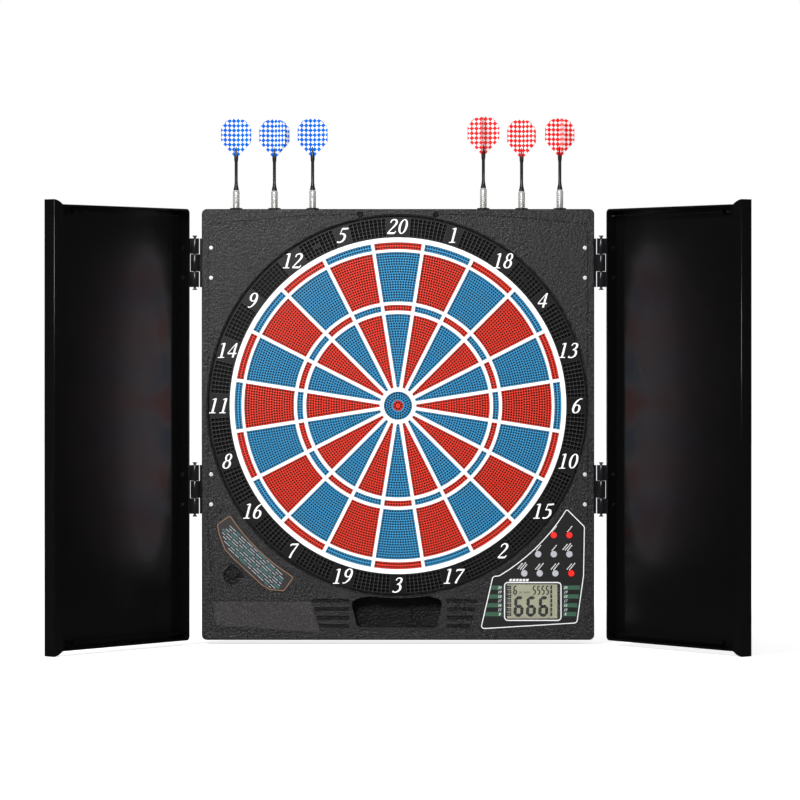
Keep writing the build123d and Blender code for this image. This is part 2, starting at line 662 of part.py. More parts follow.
write("hinge_body_leaves", make_body_leaves())
write("hinge_pins", make_hinge_pins())
write("hinge_rivets", make_hinge_rivets())

for number, (dart_x, angles, rise) in enumerate(zip(DART_X, FLIGHT_ANGLES, DART_RISES), start=1):
    write(f"dart_{number}_barrel", Pos(0, 0, rise) * make_dart_body(dart_x))
    write(f"dart_{number}_flight", Pos(0, 0, rise) * make_flight(dart_x, angles))

door_pieces = {
    "door_shell": make_door_shell(),
    "grip_rail": make_grip_rail(),
    "rail_screws": make_rail_screws(),
    "hinge_door_leaves": make_door_leaves(),
    "hinge_door_rivets": make_door_rivets(),
}
for piece_name, piece in door_pieces.items():
    left = at_hinge(piece)
    write(f"left_{piece_name}", left)
    write(f"right_{piece_name}", mirror(left, about=Plane.YZ))
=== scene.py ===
import math

import bpy
import numpy as np
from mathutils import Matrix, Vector


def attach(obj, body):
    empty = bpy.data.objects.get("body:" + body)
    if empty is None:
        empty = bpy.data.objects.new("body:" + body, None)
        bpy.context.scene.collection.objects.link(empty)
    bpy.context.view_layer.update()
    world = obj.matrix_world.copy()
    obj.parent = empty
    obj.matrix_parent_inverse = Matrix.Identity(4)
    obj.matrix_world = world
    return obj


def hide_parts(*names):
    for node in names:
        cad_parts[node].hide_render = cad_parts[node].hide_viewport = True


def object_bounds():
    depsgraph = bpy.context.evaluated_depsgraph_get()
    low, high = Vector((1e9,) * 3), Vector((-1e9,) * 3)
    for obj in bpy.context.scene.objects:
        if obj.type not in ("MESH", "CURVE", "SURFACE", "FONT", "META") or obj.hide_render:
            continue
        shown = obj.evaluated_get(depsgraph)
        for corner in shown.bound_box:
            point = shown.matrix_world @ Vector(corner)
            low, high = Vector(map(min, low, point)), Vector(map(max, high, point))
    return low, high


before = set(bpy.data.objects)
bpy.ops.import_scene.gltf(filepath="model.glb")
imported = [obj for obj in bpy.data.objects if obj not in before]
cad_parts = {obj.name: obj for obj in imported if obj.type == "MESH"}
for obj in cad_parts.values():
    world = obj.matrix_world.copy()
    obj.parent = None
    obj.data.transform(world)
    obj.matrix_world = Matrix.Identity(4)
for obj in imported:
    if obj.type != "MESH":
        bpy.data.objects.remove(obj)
cad_low, cad_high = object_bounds()

# An electronic soft-tip dart board in a black cabinet with two open doors. Metres, the frame's own axes:
# the bull's-eye is at x = 0, z = 0, the face looks along -Y.
MM = 0.001
FACE_Y = -45.0  # the housing's face, mm
WEDGES = 20
NUMBERS = (20, 1, 18, 4, 13, 6, 10, 15, 2, 17, 3, 19, 7, 16, 8, 11, 14, 9, 12, 5)  # clockwise from the top
WEB_BAR = 3.8
SEGMENT_GAP = 0.3
SEGMENT_FRONT = -43.3
SEGMENT_BACK = -35.0
EASE = 0.35  # rounding of the segments' front edges
HOLE_PITCH = 3.0
LIP_RADIUS = 0.2265
HOLE_RADIUS = 1.2
HOLE_DEPTH = 3.0
RINGS = {
    "double_segments": (183.4, 191.6),
    "outer_single_segments": (122.0, 180.2),
    "triple_segments": (111.5, 118.3),
    "inner_single_segments": (21.4, 107.6),
}
BULL_OUTER = 16.6
BULL_INNER = 6.0
DART_X = (-190.5, -145.5, -100.5, 100.5, 145.5, 190.5)
DART_Y = -22.5
# the two sheets of each flight, as angles about the dart
FLIGHT_ANGLES = ((23, -23), (22, -45), (23, -23), (-10, 80), (25, -37), (22, 101))
DART_RISES = (0.3, -0.3, 0.5, 2.8, -0.8, 1.0)
FLIGHT_FOOT = 337.3 - 44.8


# --- mesh making ---
class Shape:
    """Collects corners and faces, in millimetres, and turns them into one Blender piece."""

    def __init__(self):
        self.points = []
        self.faces = []
        self.slots = []

    def add(self, points, faces, slot=0):
        start = len(self.points)
        self.points.extend(points)
        self.faces.extend([tuple(start + i for i in face) for face in faces])
        self.slots.extend([slot] * len(faces))

    def add_copy(self, other, move):
        """Adds another shape with its points passed through move."""
        start = len(self.points)
        self.points.extend(move(p) for p in other.points)
        self.faces.extend([tuple(start + i for i in face) for face in other.faces])
        self.slots.extend(other.slots)

    def piece(self, name, materials, body, slot, smooth=False, replaces=()):
        mesh = bpy.data.meshes.new(name)
        mesh.from_pydata((np.array(self.points) * MM).tolist(), [], self.faces)
        mesh.polygons.foreach_set("material_index", self.slots)
        mesh.validate()
        if smooth:
            mesh.shade_smooth()
        else:
            mesh.shade_flat()
        piece = bpy.data.objects.new(name, mesh)
        bpy.context.scene.collection.objects.link(piece)
        for material in materials:
            mesh.materials.append(material)
        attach(piece, body)
        if replaces:
            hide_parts(*replaces)
        return piece


def polar(radius, angle, y):
    """A point at radius and angle, in degrees clockwise from the top as the player sees it."""
    turn = math.radians(angle)
    return (radius * math.sin(turn), y, radius * math.cos(turn))


def quad_strip(first, second):
    """Faces between two equal closed rows of corners that start at index 0 and len(row)."""
    count = len(first)
    return [(i, (i + 1) % count, count + (i + 1) % count, count + i) for i in range(count)]


def add_loops(shape, loops, flip=True):
    """Bands of faces between loops that each have the same number of corners."""
    for one, two in zip(loops, loops[1:]):
        faces = quad_strip(one, two)
        shape.add(one + two, [face[::-1] for face in faces] if flip else faces)


def add_prism(shape, outline, front, back, slot=0):
    """A flat solid from an outline of (x, z) corners."""
    count = len(outline)
    area = sum(a[0] * b[1] - b[0] * a[1] for a, b in zip(outline, outline[1:] + outline[:1]))
    if area < 0:
        outline = outline[::-1]
    points = [(x, y, z) for y in (back, front) for x, z in outline]
    faces = quad_strip(outline, outline)
    faces.append(tuple(range(count))[::-1])
    faces.append(tuple(range(count, 2 * count)))
    shape.add(points, faces, slot)


def rounded_path(corners, radius):
    """A closed path: corners joined by straight lines with round bends of the given radius."""
    steps = 6
    count = len(corners)
    path = []
    for i, corner in enumerate(corners):
        here = np.array(corner, float)
        before = np.array(corners[i - 1], float)
        after = np.array(corners[(i + 1) % count], float)
        to_before = (before - here) / np.linalg.norm(before - here)
        to_after = (after - here) / np.linalg.norm(after - here)
        angle = math.acos(max(-1, min(1, float(to_before @ to_after))))
        reach = min(
            radius / math.tan(angle / 2),
            0.45 * np.linalg.norm(before - here),
            0.45 * np.linalg.norm(after - here),
        )
        start, end = here + to_before * reach, here + to_after * reach
        for k in range(steps + 1):
            t = k / steps
            path.append(tuple((1 - t) ** 2 * start + 2 * t * (1 - t) * here + t * t * end))
    return path


def add_line(shape, path, width, front, back):
    """A raised line of even width along a closed path of (x, z) points."""
    count = len(path)
    left, right = [], []
    for i in range(count):
        here = np.array(path[i])
        along = np.array(path[(i + 1) % count]) - np.array(path[i - 1])
        along = along / max(np.linalg.norm(along), 1e-9)
        side = np.array((-along[1], along[0])) * width / 2
        left.append(here + side)
        right.append(here - side)
    rows = [(left, back), (left, front), (right, front), (right, back)]
    points = [(p[0], y, p[1]) for row, y in rows for p in row]
    faces = []
    for k in range(4):
        for i in range(count):
            j = (i + 1) % count
            one, two = k * count, ((k + 1) % 4) * count
            faces.append((one + i, two + i, two + j, one + j))
    shape.add(points, faces)


def box_outline(x, z, width, height, turn=0.0):
    """Four (x, z) corners of a rectangle about a centre, turned by an angle in degrees."""
    c, s = math.cos(math.radians(turn)), math.sin(math.radians(turn))
    half_w, half_h = width / 2, height / 2
    corners = [(-half_w, -half_h), (half_w, -half_h), (half_w, half_h), (-half_w, half_h)]
    return [(x + a * c - b * s, z + a * s + b * c) for a, b in corners]


def add_box(shape, x, z, width, height, front, back, slot=0):
    """A flat upright box about a centre."""
    add_prism(shape, box_outline(x, z, width, height), front, back, slot)


def add_lathe(shape, profile, steps=32, slot=0, centre=(0.0, 0.0, 0.0)):
    """A turned form about a vertical axis from a profile of (radius, z) corners, closed at the ends."""
    points, faces = [], []
    for radius, z in profile:
        for i in range(steps):
            turn = 2 * math.pi * i / steps
            x, y = radius * math.cos(turn), radius * math.sin(turn)
            points.append((centre[0] + x, centre[1] + y, centre[2] + z))
    for k in range(len(profile) - 1):
        for i in range(steps):
            j = (i + 1) % steps
            faces.append((k * steps + i, k * steps + j, (k + 1) * steps + j, (k + 1) * steps + i))
    faces.append(tuple(range(steps))[::-1])
    faces.append(tuple(range((len(profile) - 1) * steps, len(profile) * steps)))
    shape.add(points, faces, slot)


# --- shader groups ---
def new_group(name, inputs, outputs):
    """A shader node group with named float or colour sockets; inputs maps a name to its default."""
    group = bpy.data.node_groups.new(name, "ShaderNodeTree")
    for label, default in inputs.items():
        kind = "NodeSocketColor" if isinstance(default, tuple) else "NodeSocketFloat"
        socket = group.interface.new_socket(label, in_out="INPUT", socket_type=kind)
        socket.default_value = (*default, 1) if isinstance(default, tuple) else default
    for label, kind in outputs.items():
        group.interface.new_socket(label, in_out="OUTPUT", socket_type=kind)
    return group, group.nodes.new("NodeGroupInput"), group.nodes.new("NodeGroupOutput")


def math_node(tree, operation, one, two=None, clamp=False):
    node = tree.nodes.new("ShaderNodeMath")
    node.operation = operation
    node.use_clamp = clamp
    for socket, value in zip(node.inputs, (one, two)):
        if value is None:
            continue
        if isinstance(value, (int, float)):
            socket.default_value = value
        else:
            tree.links.new(value, socket)
    return node.outputs[0]


def mix_colour(tree, factor, one, two):
    node = tree.nodes.new("ShaderNodeMix")
    node.data_type = "RGBA"
    for socket, value in ((node.inputs[0], factor), (node.inputs[6], one), (node.inputs[7], two)):
        if isinstance(value, tuple):
            socket.default_value = (*value, 1)
        elif isinstance(value, (int, float)):
            socket.default_value = value
        else:
            tree.links.new(value, socket)
    return node.outputs[2]


def ramp(tree, value, low, high):
    node = tree.nodes.new("ShaderNodeMapRange")
    node.inputs["From Min"].default_value = low
    node.inputs["From Max"].default_value = high
    tree.links.new(value, node.inputs["Value"])
    return node.outputs["Result"]


def noise(tree, vector, scale, detail=3.0):
    node = tree.nodes.new("ShaderNodeTexNoise")
    node.inputs["Detail"].default_value = detail
    tree.links.new(vector, node.inputs["Vector"])
    if isinstance(scale, (int, float)):
        node.inputs["Scale"].default_value = scale
    else:
        tree.links.new(scale, node.inputs["Scale"])
    return node.outputs["Fac"]


def make_grain_group():
    """Pebbled leather grain moulded into plastic: a height, a colour and a roughness."""
    group, given, result = new_group(
        "moulded_grain",
        {"Colour": (0.05, 0.05, 0.05), "Pit Colour": (0.02, 0.02, 0.02), "Scale": 700.0,
         "Roughness": 0.5, "Speckle": 0.4},
        {"Colour": "NodeSocketColor", "Height": "NodeSocketFloat", "Roughness": "NodeSocketFloat"},
    )
    place = group.nodes.new("ShaderNodeTexCoord").outputs["Object"]
    cells = group.nodes.new("ShaderNodeTexVoronoi")
    cells.feature = "SMOOTH_F1"
    group.links.new(place, cells.inputs["Vector"])
    group.links.new(given.outputs["Scale"], cells.inputs["Scale"])
    fine = noise(group, place, math_node(group, "MULTIPLY", given.outputs["Scale"], 1.9), 4.0)
    broad = noise(group, place, 9.0, 2.0)
    peaks = math_node(group, "SUBTRACT", 1.0, cells.outputs["Distance"])
    height = math_node(group, "MULTIPLY", peaks, fine)
    speck = math_node(group, "MULTIPLY", ramp(group, fine, 0.5, 0.72), given.outputs["Speckle"])
    pit = math_node(group, "MULTIPLY", ramp(group, cells.outputs["Distance"], 0.35, 0.75), 0.7)
    colour = mix_colour(group, pit, given.outputs["Colour"], given.outputs["Pit Colour"])
    lift = mix_colour(group, speck, colour, (0.22, 0.21, 0.22))
    group.links.new(lift, result.inputs["Colour"])
    group.links.new(height, result.inputs["Height"])
    rough = math_node(group, "MULTIPLY", math_node(group, "SUBTRACT", broad, 0.5), 0.18)
    total = math_node(group, "ADD", rough, given.outputs["Roughness"], True)
    group.links.new(total, result.inputs["Roughness"])
    return group


def make_recess_group():
    """A mask that is 1 in the face's recesses and 0 on the face and the outer sides, for painting shade into
    the recesses.
    """
    group, given, result = new_group(
        "recess_painted_shade",
        {"Face": FACE_Y * MM, "Depth": 1.0 * MM, "Half Width": 0.2255},
        {"Mask": "NodeSocketFloat"},
    )
    split = group.nodes.new("ShaderNodeSeparateXYZ")
    group.links.new(group.nodes.new("ShaderNodeTexCoord").outputs["Object"], split.inputs[0])
    # painted shade: the deeper a point lies behind the face, the more it is darkened
    below = math_node(group, "SUBTRACT", split.outputs[1], given.outputs["Face"])
    deep = math_node(group, "DIVIDE", below, given.outputs["Depth"], True)
    sideways = math_node(group, "ABSOLUTE", split.outputs[0])
    within = math_node(group, "LESS_THAN", sideways, given.outputs["Half Width"])
    above = math_node(group, "GREATER_THAN", split.outputs[2], -0.270)
    under = math_node(group, "LESS_THAN", split.outputs[2], 0.2265)
    inside = math_node(group, "MULTIPLY", within, math_node(group, "MULTIPLY", above, under))
    # the lip of the round opening catches light, so it is left out
    across = math_node(group, "MULTIPLY", split.outputs[0], split.outputs[0])
    upward = math_node(group, "MULTIPLY", split.outputs[2], split.outputs[2])
    squared = math_node(group, "ADD", across, upward)
    beyond = math_node(group, "GREATER_THAN", squared, LIP_RADIUS ** 2)
    inside = math_node(group, "MULTIPLY", inside, beyond)
    group.links.new(math_node(group, "MULTIPLY", deep, inside), result.inputs["Mask"])
    return group


def make_handling_group():
    """Faint smears and dust on smooth plastic and metal: a roughness, a colour and a slight waviness."""
    group, given, result = new_group(
        "handling_marks",
        {"Colour": (0.5, 0.5, 0.5), "Roughness": 0.2, "Smear": 0.08, "Shade": 0.08, "Scale": 30.0},
        {"Colour": "NodeSocketColor", "Roughness": "NodeSocketFloat", "Height": "NodeSocketFloat"},
    )
    place = group.nodes.new("ShaderNodeTexCoord").outputs["Object"]
    smear = noise(group, place, given.outputs["Scale"], 5.0)
    dust = noise(group, place, 1600.0, 2.0)
    centred = math_node(group, "SUBTRACT", smear, 0.5)
    rough = math_node(group, "MULTIPLY", centred, given.outputs["Smear"])
    rough = math_node(group, "MULTIPLY", rough, 2.0)
    total = math_node(group, "ADD", rough, given.outputs["Roughness"], True)
    group.links.new(total, result.inputs["Roughness"])
    shade = math_node(group, "MULTIPLY", ramp(group, dust, 0.45, 0.8), given.outputs["Shade"])
    darker = mix_colour(group, 0.35, given.outputs["Colour"], (0.0, 0.0, 0.0))
    group.links.new(mix_colour(group, shade, given.outputs["Colour"], darker), result.inputs["Colour"])
    group.links.new(smear, result.inputs["Height"])
    return group


def make_diamond_group():
    """Rows of touching diamonds on a flight, laid out from the vane's own flat coordinates."""
    group, given, result = new_group(
        "flight_diamonds",
        {"Diamond": (0.0, 0.1, 0.8), "Ground": (0.9, 0.9, 0.9), "Across": 182.0, "Up": 179.0},
        {"Colour": "NodeSocketColor"},
    )
    uv = group.nodes.new("ShaderNodeUVMap").outputs["UV"]
    split = group.nodes.new("ShaderNodeSeparateXYZ")
    group.links.new(uv, split.inputs[0])
    reach = None
    for axis, label in ((0, "Across"), (1, "Up")):
        scaled = math_node(group, "MULTIPLY", split.outputs[axis], given.outputs[label])
        part = math_node(group, "FRACT", scaled)
        away = math_node(group, "ABSOLUTE", math_node(group, "SUBTRACT", part, 0.5))
        reach = away if reach is None else math_node(group, "ADD", reach, away)
    inside = ramp(group, reach, 0.56, 0.53)
    colour = mix_colour(group, inside, given.outputs["Ground"], given.outputs["Diamond"])
    group.links.new(colour, result.inputs["Colour"])
    return group


# --- materials ---
def set_socket(node, label, value):
    """Sets an input by its name, with an underscore for each space."""
    socket = node.inputs[label.replace("_", " ")]
    socket.default_value = (*value, 1) if isinstance(value, tuple) else value


def new_material(name, **values):
    """A material with one Principled shader, its plain values set on its own sockets."""
    material = bpy.data.materials.new(name)
    material.use_nodes = True
    shader = material.node_tree.nodes["Principled BSDF"]
    for label, value in values.items():
        set_socket(shader, label, value)
    return material, material.node_tree, shader


def use_group(tree, group, **values):
    node = tree.nodes.new("ShaderNodeGroup")
    node.node_tree = group
    for label, value in values.items():
        set_socket(node, label, value)
    return node


def link_bump(tree, shader, height, strength, distance):
    bump = tree.nodes.new("ShaderNodeBump")
    bump.inputs["Strength"].default_value = strength
    bump.inputs["Distance"].default_value = distance
    tree.links.new(height, bump.inputs["Height"])
    tree.links.new(bump.outputs["Normal"], shader.inputs["Normal"])


def grained(name, colour, pit, roughness, scale=700.0, speckle=0.4, bump=0.5, depth=0.00025, **values):
    """Moulded plastic with a leather grain."""
    material, tree, shader = new_material(name, **values)
    grain = use_group(
        tree, grain_group, Colour=colour, Pit_Colour=pit, Scale=scale, Roughness=roughness, Speckle=speckle
    )
    tree.links.new(grain.outputs["Colour"], shader.inputs["Base Color"])
    tree.links.new(grain.outputs["Roughness"], shader.inputs["Roughness"])
    link_bump(tree, shader, grain.outputs["Height"], bump, depth)
    return material


def smooth(name, colour, roughness, smear=0.08, shade=0.3, scale=30.0, bump=0.0, **values):
    """Smooth plastic, film, glass or metal with faint handling marks."""
    material, tree, shader = new_material(name, **values)
    marks = use_group(
        tree, handling_group, Colour=colour, Roughness=roughness, Smear=smear, Shade=shade, Scale=scale
    )
    tree.links.new(marks.outputs["Colour"], shader.inputs["Base Color"])
    tree.links.new(marks.outputs["Roughness"], shader.inputs["Roughness"])
    if bump:
        link_bump(tree, shader, marks.outputs["Height"], bump, 0.0005)
    return material


grain_group = make_grain_group()
recess_shade_group = make_recess_group()
handling_group = make_handling_group()
diamond_group = make_diamond_group()


def make_housing_material():
    """Grained plastic with shade painted into its recesses, where light doesn't reach."""
    material = grained(
        "housing_grain_painted_shade", (0.009, 0.0085, 0.0095), (0.001, 0.001, 0.0015), 0.36,
        scale=420.0, speckle=0.30, bump=1.0, depth=0.0009,
    )
    tree = material.node_tree
    shader = tree.nodes["Principled BSDF"]
    mask = use_group(tree, recess_shade_group).outputs["Mask"]
    colour = shader.inputs["Base Color"].links[0].from_socket
    # painted shade: the recess mask pulls the grain colour towards near black
    shade = math_node(tree, "MULTIPLY", mask, 0.95)
    tree.links.new(mix_colour(tree, shade, colour, (0.002, 0.002, 0.002)), shader.inputs["Base Color"])
    return material


HOUSING = make_housing_material()
REAR = grained("rear_grain", (0.032, 0.031, 0.033), (0.014, 0.014, 0.015), 0.6, scale=520.0, bump=0.6)
# painted highlight: the ribs are lighter than the black ring where they catch light
RING_RIB_HIGHLIGHT = smooth("ring_rib_painted_highlight", (0.045, 0.045, 0.045), 0.38, smear=0.1, shade=0.6)
RING_BLACK = smooth("ring_black", (0.003, 0.003, 0.003), 0.4, smear=0.1)
# painted shade: near-black floors stand for the darkness deep inside holes and cells
HOLE_SHADE_BLACK = smooth("hole_painted_shade", (0.0025, 0.0025, 0.003), 0.7)
DOOR_BLACK = smooth(
    "door_gloss", (0.0025, 0.0025, 0.0025), 0.19,
    smear=0.03, bump=0.02, Coat_Weight=0.1, Coat_Roughness=0.08,
)
HINGE_BLACK = smooth("hinge_gloss", (0.008, 0.008, 0.009), 0.2, smear=0.05)
WEB_WHITE = smooth("web_white", (0.86, 0.86, 0.85), 0.32, smear=0.05, shade=0.1)
DIGIT_WHITE = smooth("digit_white", (0.9, 0.9, 0.89), 0.4, shade=0.1)
SEGMENT_BLUE = smooth("segment_blue", (0.03, 0.25, 0.48), 0.3, smear=0.06, shade=0.35)
SEGMENT_RED = smooth("segment_red", (0.66, 0.03, 0.012), 0.3, smear=0.06, shade=0.35)
BUTTON_RED = smooth("button_red", (0.80, 0.012, 0.006), 0.34, shade=0.2)
BUTTON_GREY = smooth("button_grey", (0.40, 0.41, 0.45), 0.36, shade=0.2)
PANEL = grained(
    "panel_film", (0.009, 0.009, 0.009), (0.006, 0.006, 0.006), 0.45,
    scale=1500.0, speckle=0.06, bump=0.25,
)
CARD = grained(
    "card_film", (0.026, 0.023, 0.023), (0.017, 0.015, 0.015), 0.38,
    scale=1300.0, speckle=0.15, bump=0.2,
)
LABEL = grained(
    "label_film", (0.022, 0.020, 0.021), (0.016, 0.015, 0.015), 0.35,
    scale=600.0, speckle=0.5, bump=0.6,
)
PRINT_WHITE = smooth("print_white", (0.72, 0.72, 0.73), 0.5)
PRINT_GREY = smooth("print_grey", (0.36, 0.43, 0.46), 0.5)
PRINT_GOLD = smooth("print_gold", (0.25, 0.14, 0.07), 0.45)
PRINT_TEAL = smooth("print_teal", (0.035, 0.12, 0.115), 0.5)
PRINT_GREEN = smooth("print_green", (0.028, 0.10, 0.055), 0.5)
LCD_BACK = smooth("lcd_back", (0.50, 0.49, 0.35), 0.6, smear=0.04, shade=0.15, Specular_IOR_Level=0.1)
LCD_INK = smooth("lcd_ink", (0.004, 0.005, 0.004), 0.8, Specular_IOR_Level=0.0)
LCD_GHOST = smooth("lcd_ghost", (0.30, 0.30, 0.21), 0.6, Specular_IOR_Level=0.1)
RUBBER = grained("rubber", (0.022, 0.022, 0.022), (0.012, 0.012, 0.012), 0.8, scale=1400.0, speckle=0.2)
FILM = smooth("switch_film", (0.45, 0.40, 0.28), 0.35)
FIBRE = grained("pressed_fibre", (0.26, 0.17, 0.10), (0.13, 0.08, 0.05), 0.85, scale=500.0, speckle=0.3)
LAMINATE = smooth("board_laminate", (0.02, 0.14, 0.045), 0.3)
SLEEVE_WRAP = smooth("cell_sleeve", (0.04, 0.045, 0.06), 0.25)
ZINC = smooth("zinc_steel", (0.80, 0.79, 0.76), 0.3, smear=0.15, Metallic=0.35)
DARK_STEEL = smooth("dark_steel", (0.10, 0.10, 0.105), 0.35, smear=0.15, Metallic=0.7)
BARREL = smooth("barrel_nickel", (0.86, 0.85, 0.83), 0.28, smear=0.12, scale=90.0, Metallic=0.6)
STEM = smooth("stem_black", (0.016, 0.013, 0.012), 0.28, smear=0.1)
TIP = smooth("tip_nylon", (0.02, 0.02, 0.022), 0.4)


def make_glass():
    material, tree, shader = new_material("clear_lens", Roughness=0.05, Transmission_Weight=1.0, IOR=1.46)
    marks = use_group(tree, handling_group, Colour=(0.93, 0.94, 0.92), Roughness=0.04, Smear=0.03, Shade=0.0)
    tree.links.new(marks.outputs["Colour"], shader.inputs["Base Color"])
    return material


def make_flight_material(name, diamond):
    material, tree, shader = new_material(name, Roughness=0.4, Specular_IOR_Level=0.15)
    pattern = use_group(tree, diamond_group, Diamond=diamond, Ground=(0.86, 0.86, 0.86))
    marks = use_group(tree, handling_group, Roughness=0.4, Smear=0.06)
    tree.links.new(pattern.outputs["Colour"], shader.inputs["Base Color"])
    tree.links.new(marks.outputs["Roughness"], shader.inputs["Roughness"])
    return material


GLASS = make_glass()
FLIGHT_BLUE = make_flight_material("flight_blue", (0.0, 0.115, 0.62))
FLIGHT_RED = make_flight_material("flight_red", (0.84, 0.004, 0.004))


# --- camera, floor and lights ---
def make_camera():
    data = bpy.data.cameras.new("camera")
    data.lens = 178.6
    data.sensor_width = 36.0
    data.shift_x = 0.0025
    data.shift_y = -0.075
    data.clip_end = 50
    camera = bpy.data.objects.new("camera", data)
    camera.location = (0.0, FACE_Y * MM - 4.65, 0.077)
    camera.rotation_euler = (math.radians(90), 0, 0)
    bpy.context.scene.collection.objects.link(camera)
    bpy.context.scene.camera = camera


def make_light(name, place, aim, size, power, diffuse=True, glossy=True):
    data = bpy.data.lights.new(name, "AREA")
    data.shape = "RECTANGLE"
    data.size, data.size_y = size
    data.energy = power
    light = bpy.data.objects.new(name, data)
    light.location = place
    light.rotation_euler = (Vector(aim) - Vector(place)).to_track_quat("-Z", "Y").to_euler()
    light.visible_diffuse = diffuse
    light.visible_glossy = glossy
    bpy.context.scene.collection.objects.link(light)


def make_studio():
    floor_z = cad_low.z - 0.0005
    mesh = bpy.data.meshes.new("floor")
    wide = 9.0
    corners = [(-wide, -wide, floor_z), (wide, -wide, floor_z), (wide, wide, floor_z), (-wide, wide, floor_z)]
    mesh.from_pydata(corners, [], [(0, 1, 2, 3)])
    floor = bpy.data.objects.new("floor", mesh)
    bpy.context.scene.collection.objects.link(floor)
    material, _, shader = new_material("floor_white", Roughness=0.9, Specular_IOR_Level=0.0)
    shader.inputs["Base Color"].default_value = (0.9, 0.9, 0.9, 1)
    shader.inputs["Emission Color"].default_value = (1, 1, 1, 1)
    shader.inputs["Emission Strength"].default_value = 0.71
    mesh.materials.append(material)
    floor.visible_glossy = False

    make_world()
    make_light("key", (-1.7, -2.4, 2.5), (0, 0, 0), (0.8, 0.8), 128, glossy=False)
    make_light("fill", (2.0, -3.2, 0.9), (0, 0, 0), (1.6, 1.6), 20, glossy=False)
    # the glints come from a nearer light that falls off across the face
    make_light("sheen", (-0.5, -2.0, 0.75), (-0.2, 0, 0.2), (0.5, 0.5), 17, diffuse=False)


def make_world():
    """White behind the object, dim all round it, so that dark parts mirror a dark room."""
    world = bpy.data.worlds.new("studio")
    world.use_nodes = True
    tree = world.node_tree
    background = tree.nodes["Background"]
    path = tree.nodes.new("ShaderNodeLightPath")
    dim = mix_colour(tree, path.outputs["Is Glossy Ray"], (0.34, 0.34, 0.35), (0.03, 0.03, 0.03))
    seen = mix_colour(tree, path.outputs["Is Camera Ray"], dim, (1.0, 1.0, 1.0))
    tree.links.new(seen, background.inputs["Color"])
    bpy.context.scene.world = world
    bpy.context.scene.view_settings.view_transform = "Standard"


make_camera()
make_studio()


# --- CAD nodes that keep their shape ---
def dress(node, material, bevel):
    """Gives a CAD node its material, and eases its sharp edges with modifiers."""
    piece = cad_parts[node]
    piece.data.materials.clear()
    piece.data.materials.append(material)
    if bevel:
        weld = piece.modifiers.new("weld", "WELD")
        weld.merge_threshold = 0.00001
        flat = piece.modifiers.new("flat", "DECIMATE")
        flat.decimate_type = "DISSOLVE"
        flat.angle_limit = math.radians(0.5)
        ease = piece.modifiers.new("ease", "BEVEL")
        ease.width = bevel * MM
        ease.segments = 2
        ease.limit_method = "ANGLE"
        ease.angle_limit = math.radians(35)
        ease.harden_normals = True


DRESSED = {
    "front_housing": (HOUSING, 0.4),
    "rear_housing": (REAR, 0.4),
    "battery_cover": (REAR, 0.3),
    "batteries": (SLEEVE_WRAP, 0.3),
    "rubber_mat": (RUBBER, 0.0),
    "sensor_membrane": (FILM, 0.0),
    "backing_board": (FIBRE, 0.0),
    "circuit_board": (LAMINATE, 0.0),
    "keypad": (RUBBER, 0.2),
    "speaker": (DARK_STEEL, 0.3),
    "control_overlay": (PANEL, 0.15),
    "label_plate": (LABEL, 0.35),
    "game_card": (CARD, 0.15),
    "lcd_window": (GLASS, 0.0),
    "lcd_panel": (LCD_BACK, 0.0),
    "dart_sleeves": (RING_BLACK, 0.15),
    "hinge_body_leaves": (HINGE_BLACK, 0.25),
    "hinge_pins": (DARK_STEEL, 0.2),
    "hinge_rivets": (ZINC, 0.0),
    "spider_web": (WEB_WHITE, 0.35),
    "housing_screws": (ZINC, 0.2),
    "face_screws": (HINGE_BLACK, 0.3),
}
for side in ("left", "right"):
    DRESSED[side + "_door_shell"] = (DOOR_BLACK, 0.35)
    DRESSED[side + "_grip_rail"] = (DOOR_BLACK, 0.4)
    DRESSED[side + "_rail_screws"] = (ZINC, 0.15)
    DRESSED[side + "_hinge_door_leaves"] = (HINGE_BLACK, 0.25)
    DRESSED[side + "_hinge_door_rivets"] = (HINGE_BLACK, 0.2)
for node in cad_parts:
    if node.endswith("_button"):
        red = node in ("power_button", "reset_button", "start_button")
        DRESSED[node] = (BUTTON_RED if red else BUTTON_GREY, 0.0)
for node, (material, bevel) in DRESSED.items():
    dress(node, material, bevel)


# --- target segments ---
def add_hole_cell(shape, corners, centre, radius, front, deep):
    """A flat cell with one eight-sided hole through its front, and the hole's wall."""
    points = [(x, front, z) for x, z in corners]
    middle_angle = math.atan2(corners[0][1] - centre[1], corners[0][0] - centre[0])
    for y in (front, front + deep):
        for k in range(8):
            turn = middle_angle + math.radians(22.5 + 45 * (k - 1))
            points.append((centre[0] + radius * math.cos(turn), y, centre[1] + radius * math.sin(turn)))
    faces = []
    for k in range(4):
        one, two, three = 4 + 2 * k, 4 + 2 * k + 1, 4 + (2 * k + 2) % 8
        faces.append((k, two, one))
        faces.append((k, (k + 1) % 4, three, two))
    for k in range(8):
        faces.append((4 + k, 4 + (k + 1) % 8, 12 + (k + 1) % 8, 12 + k))
    shape.add(points, faces)


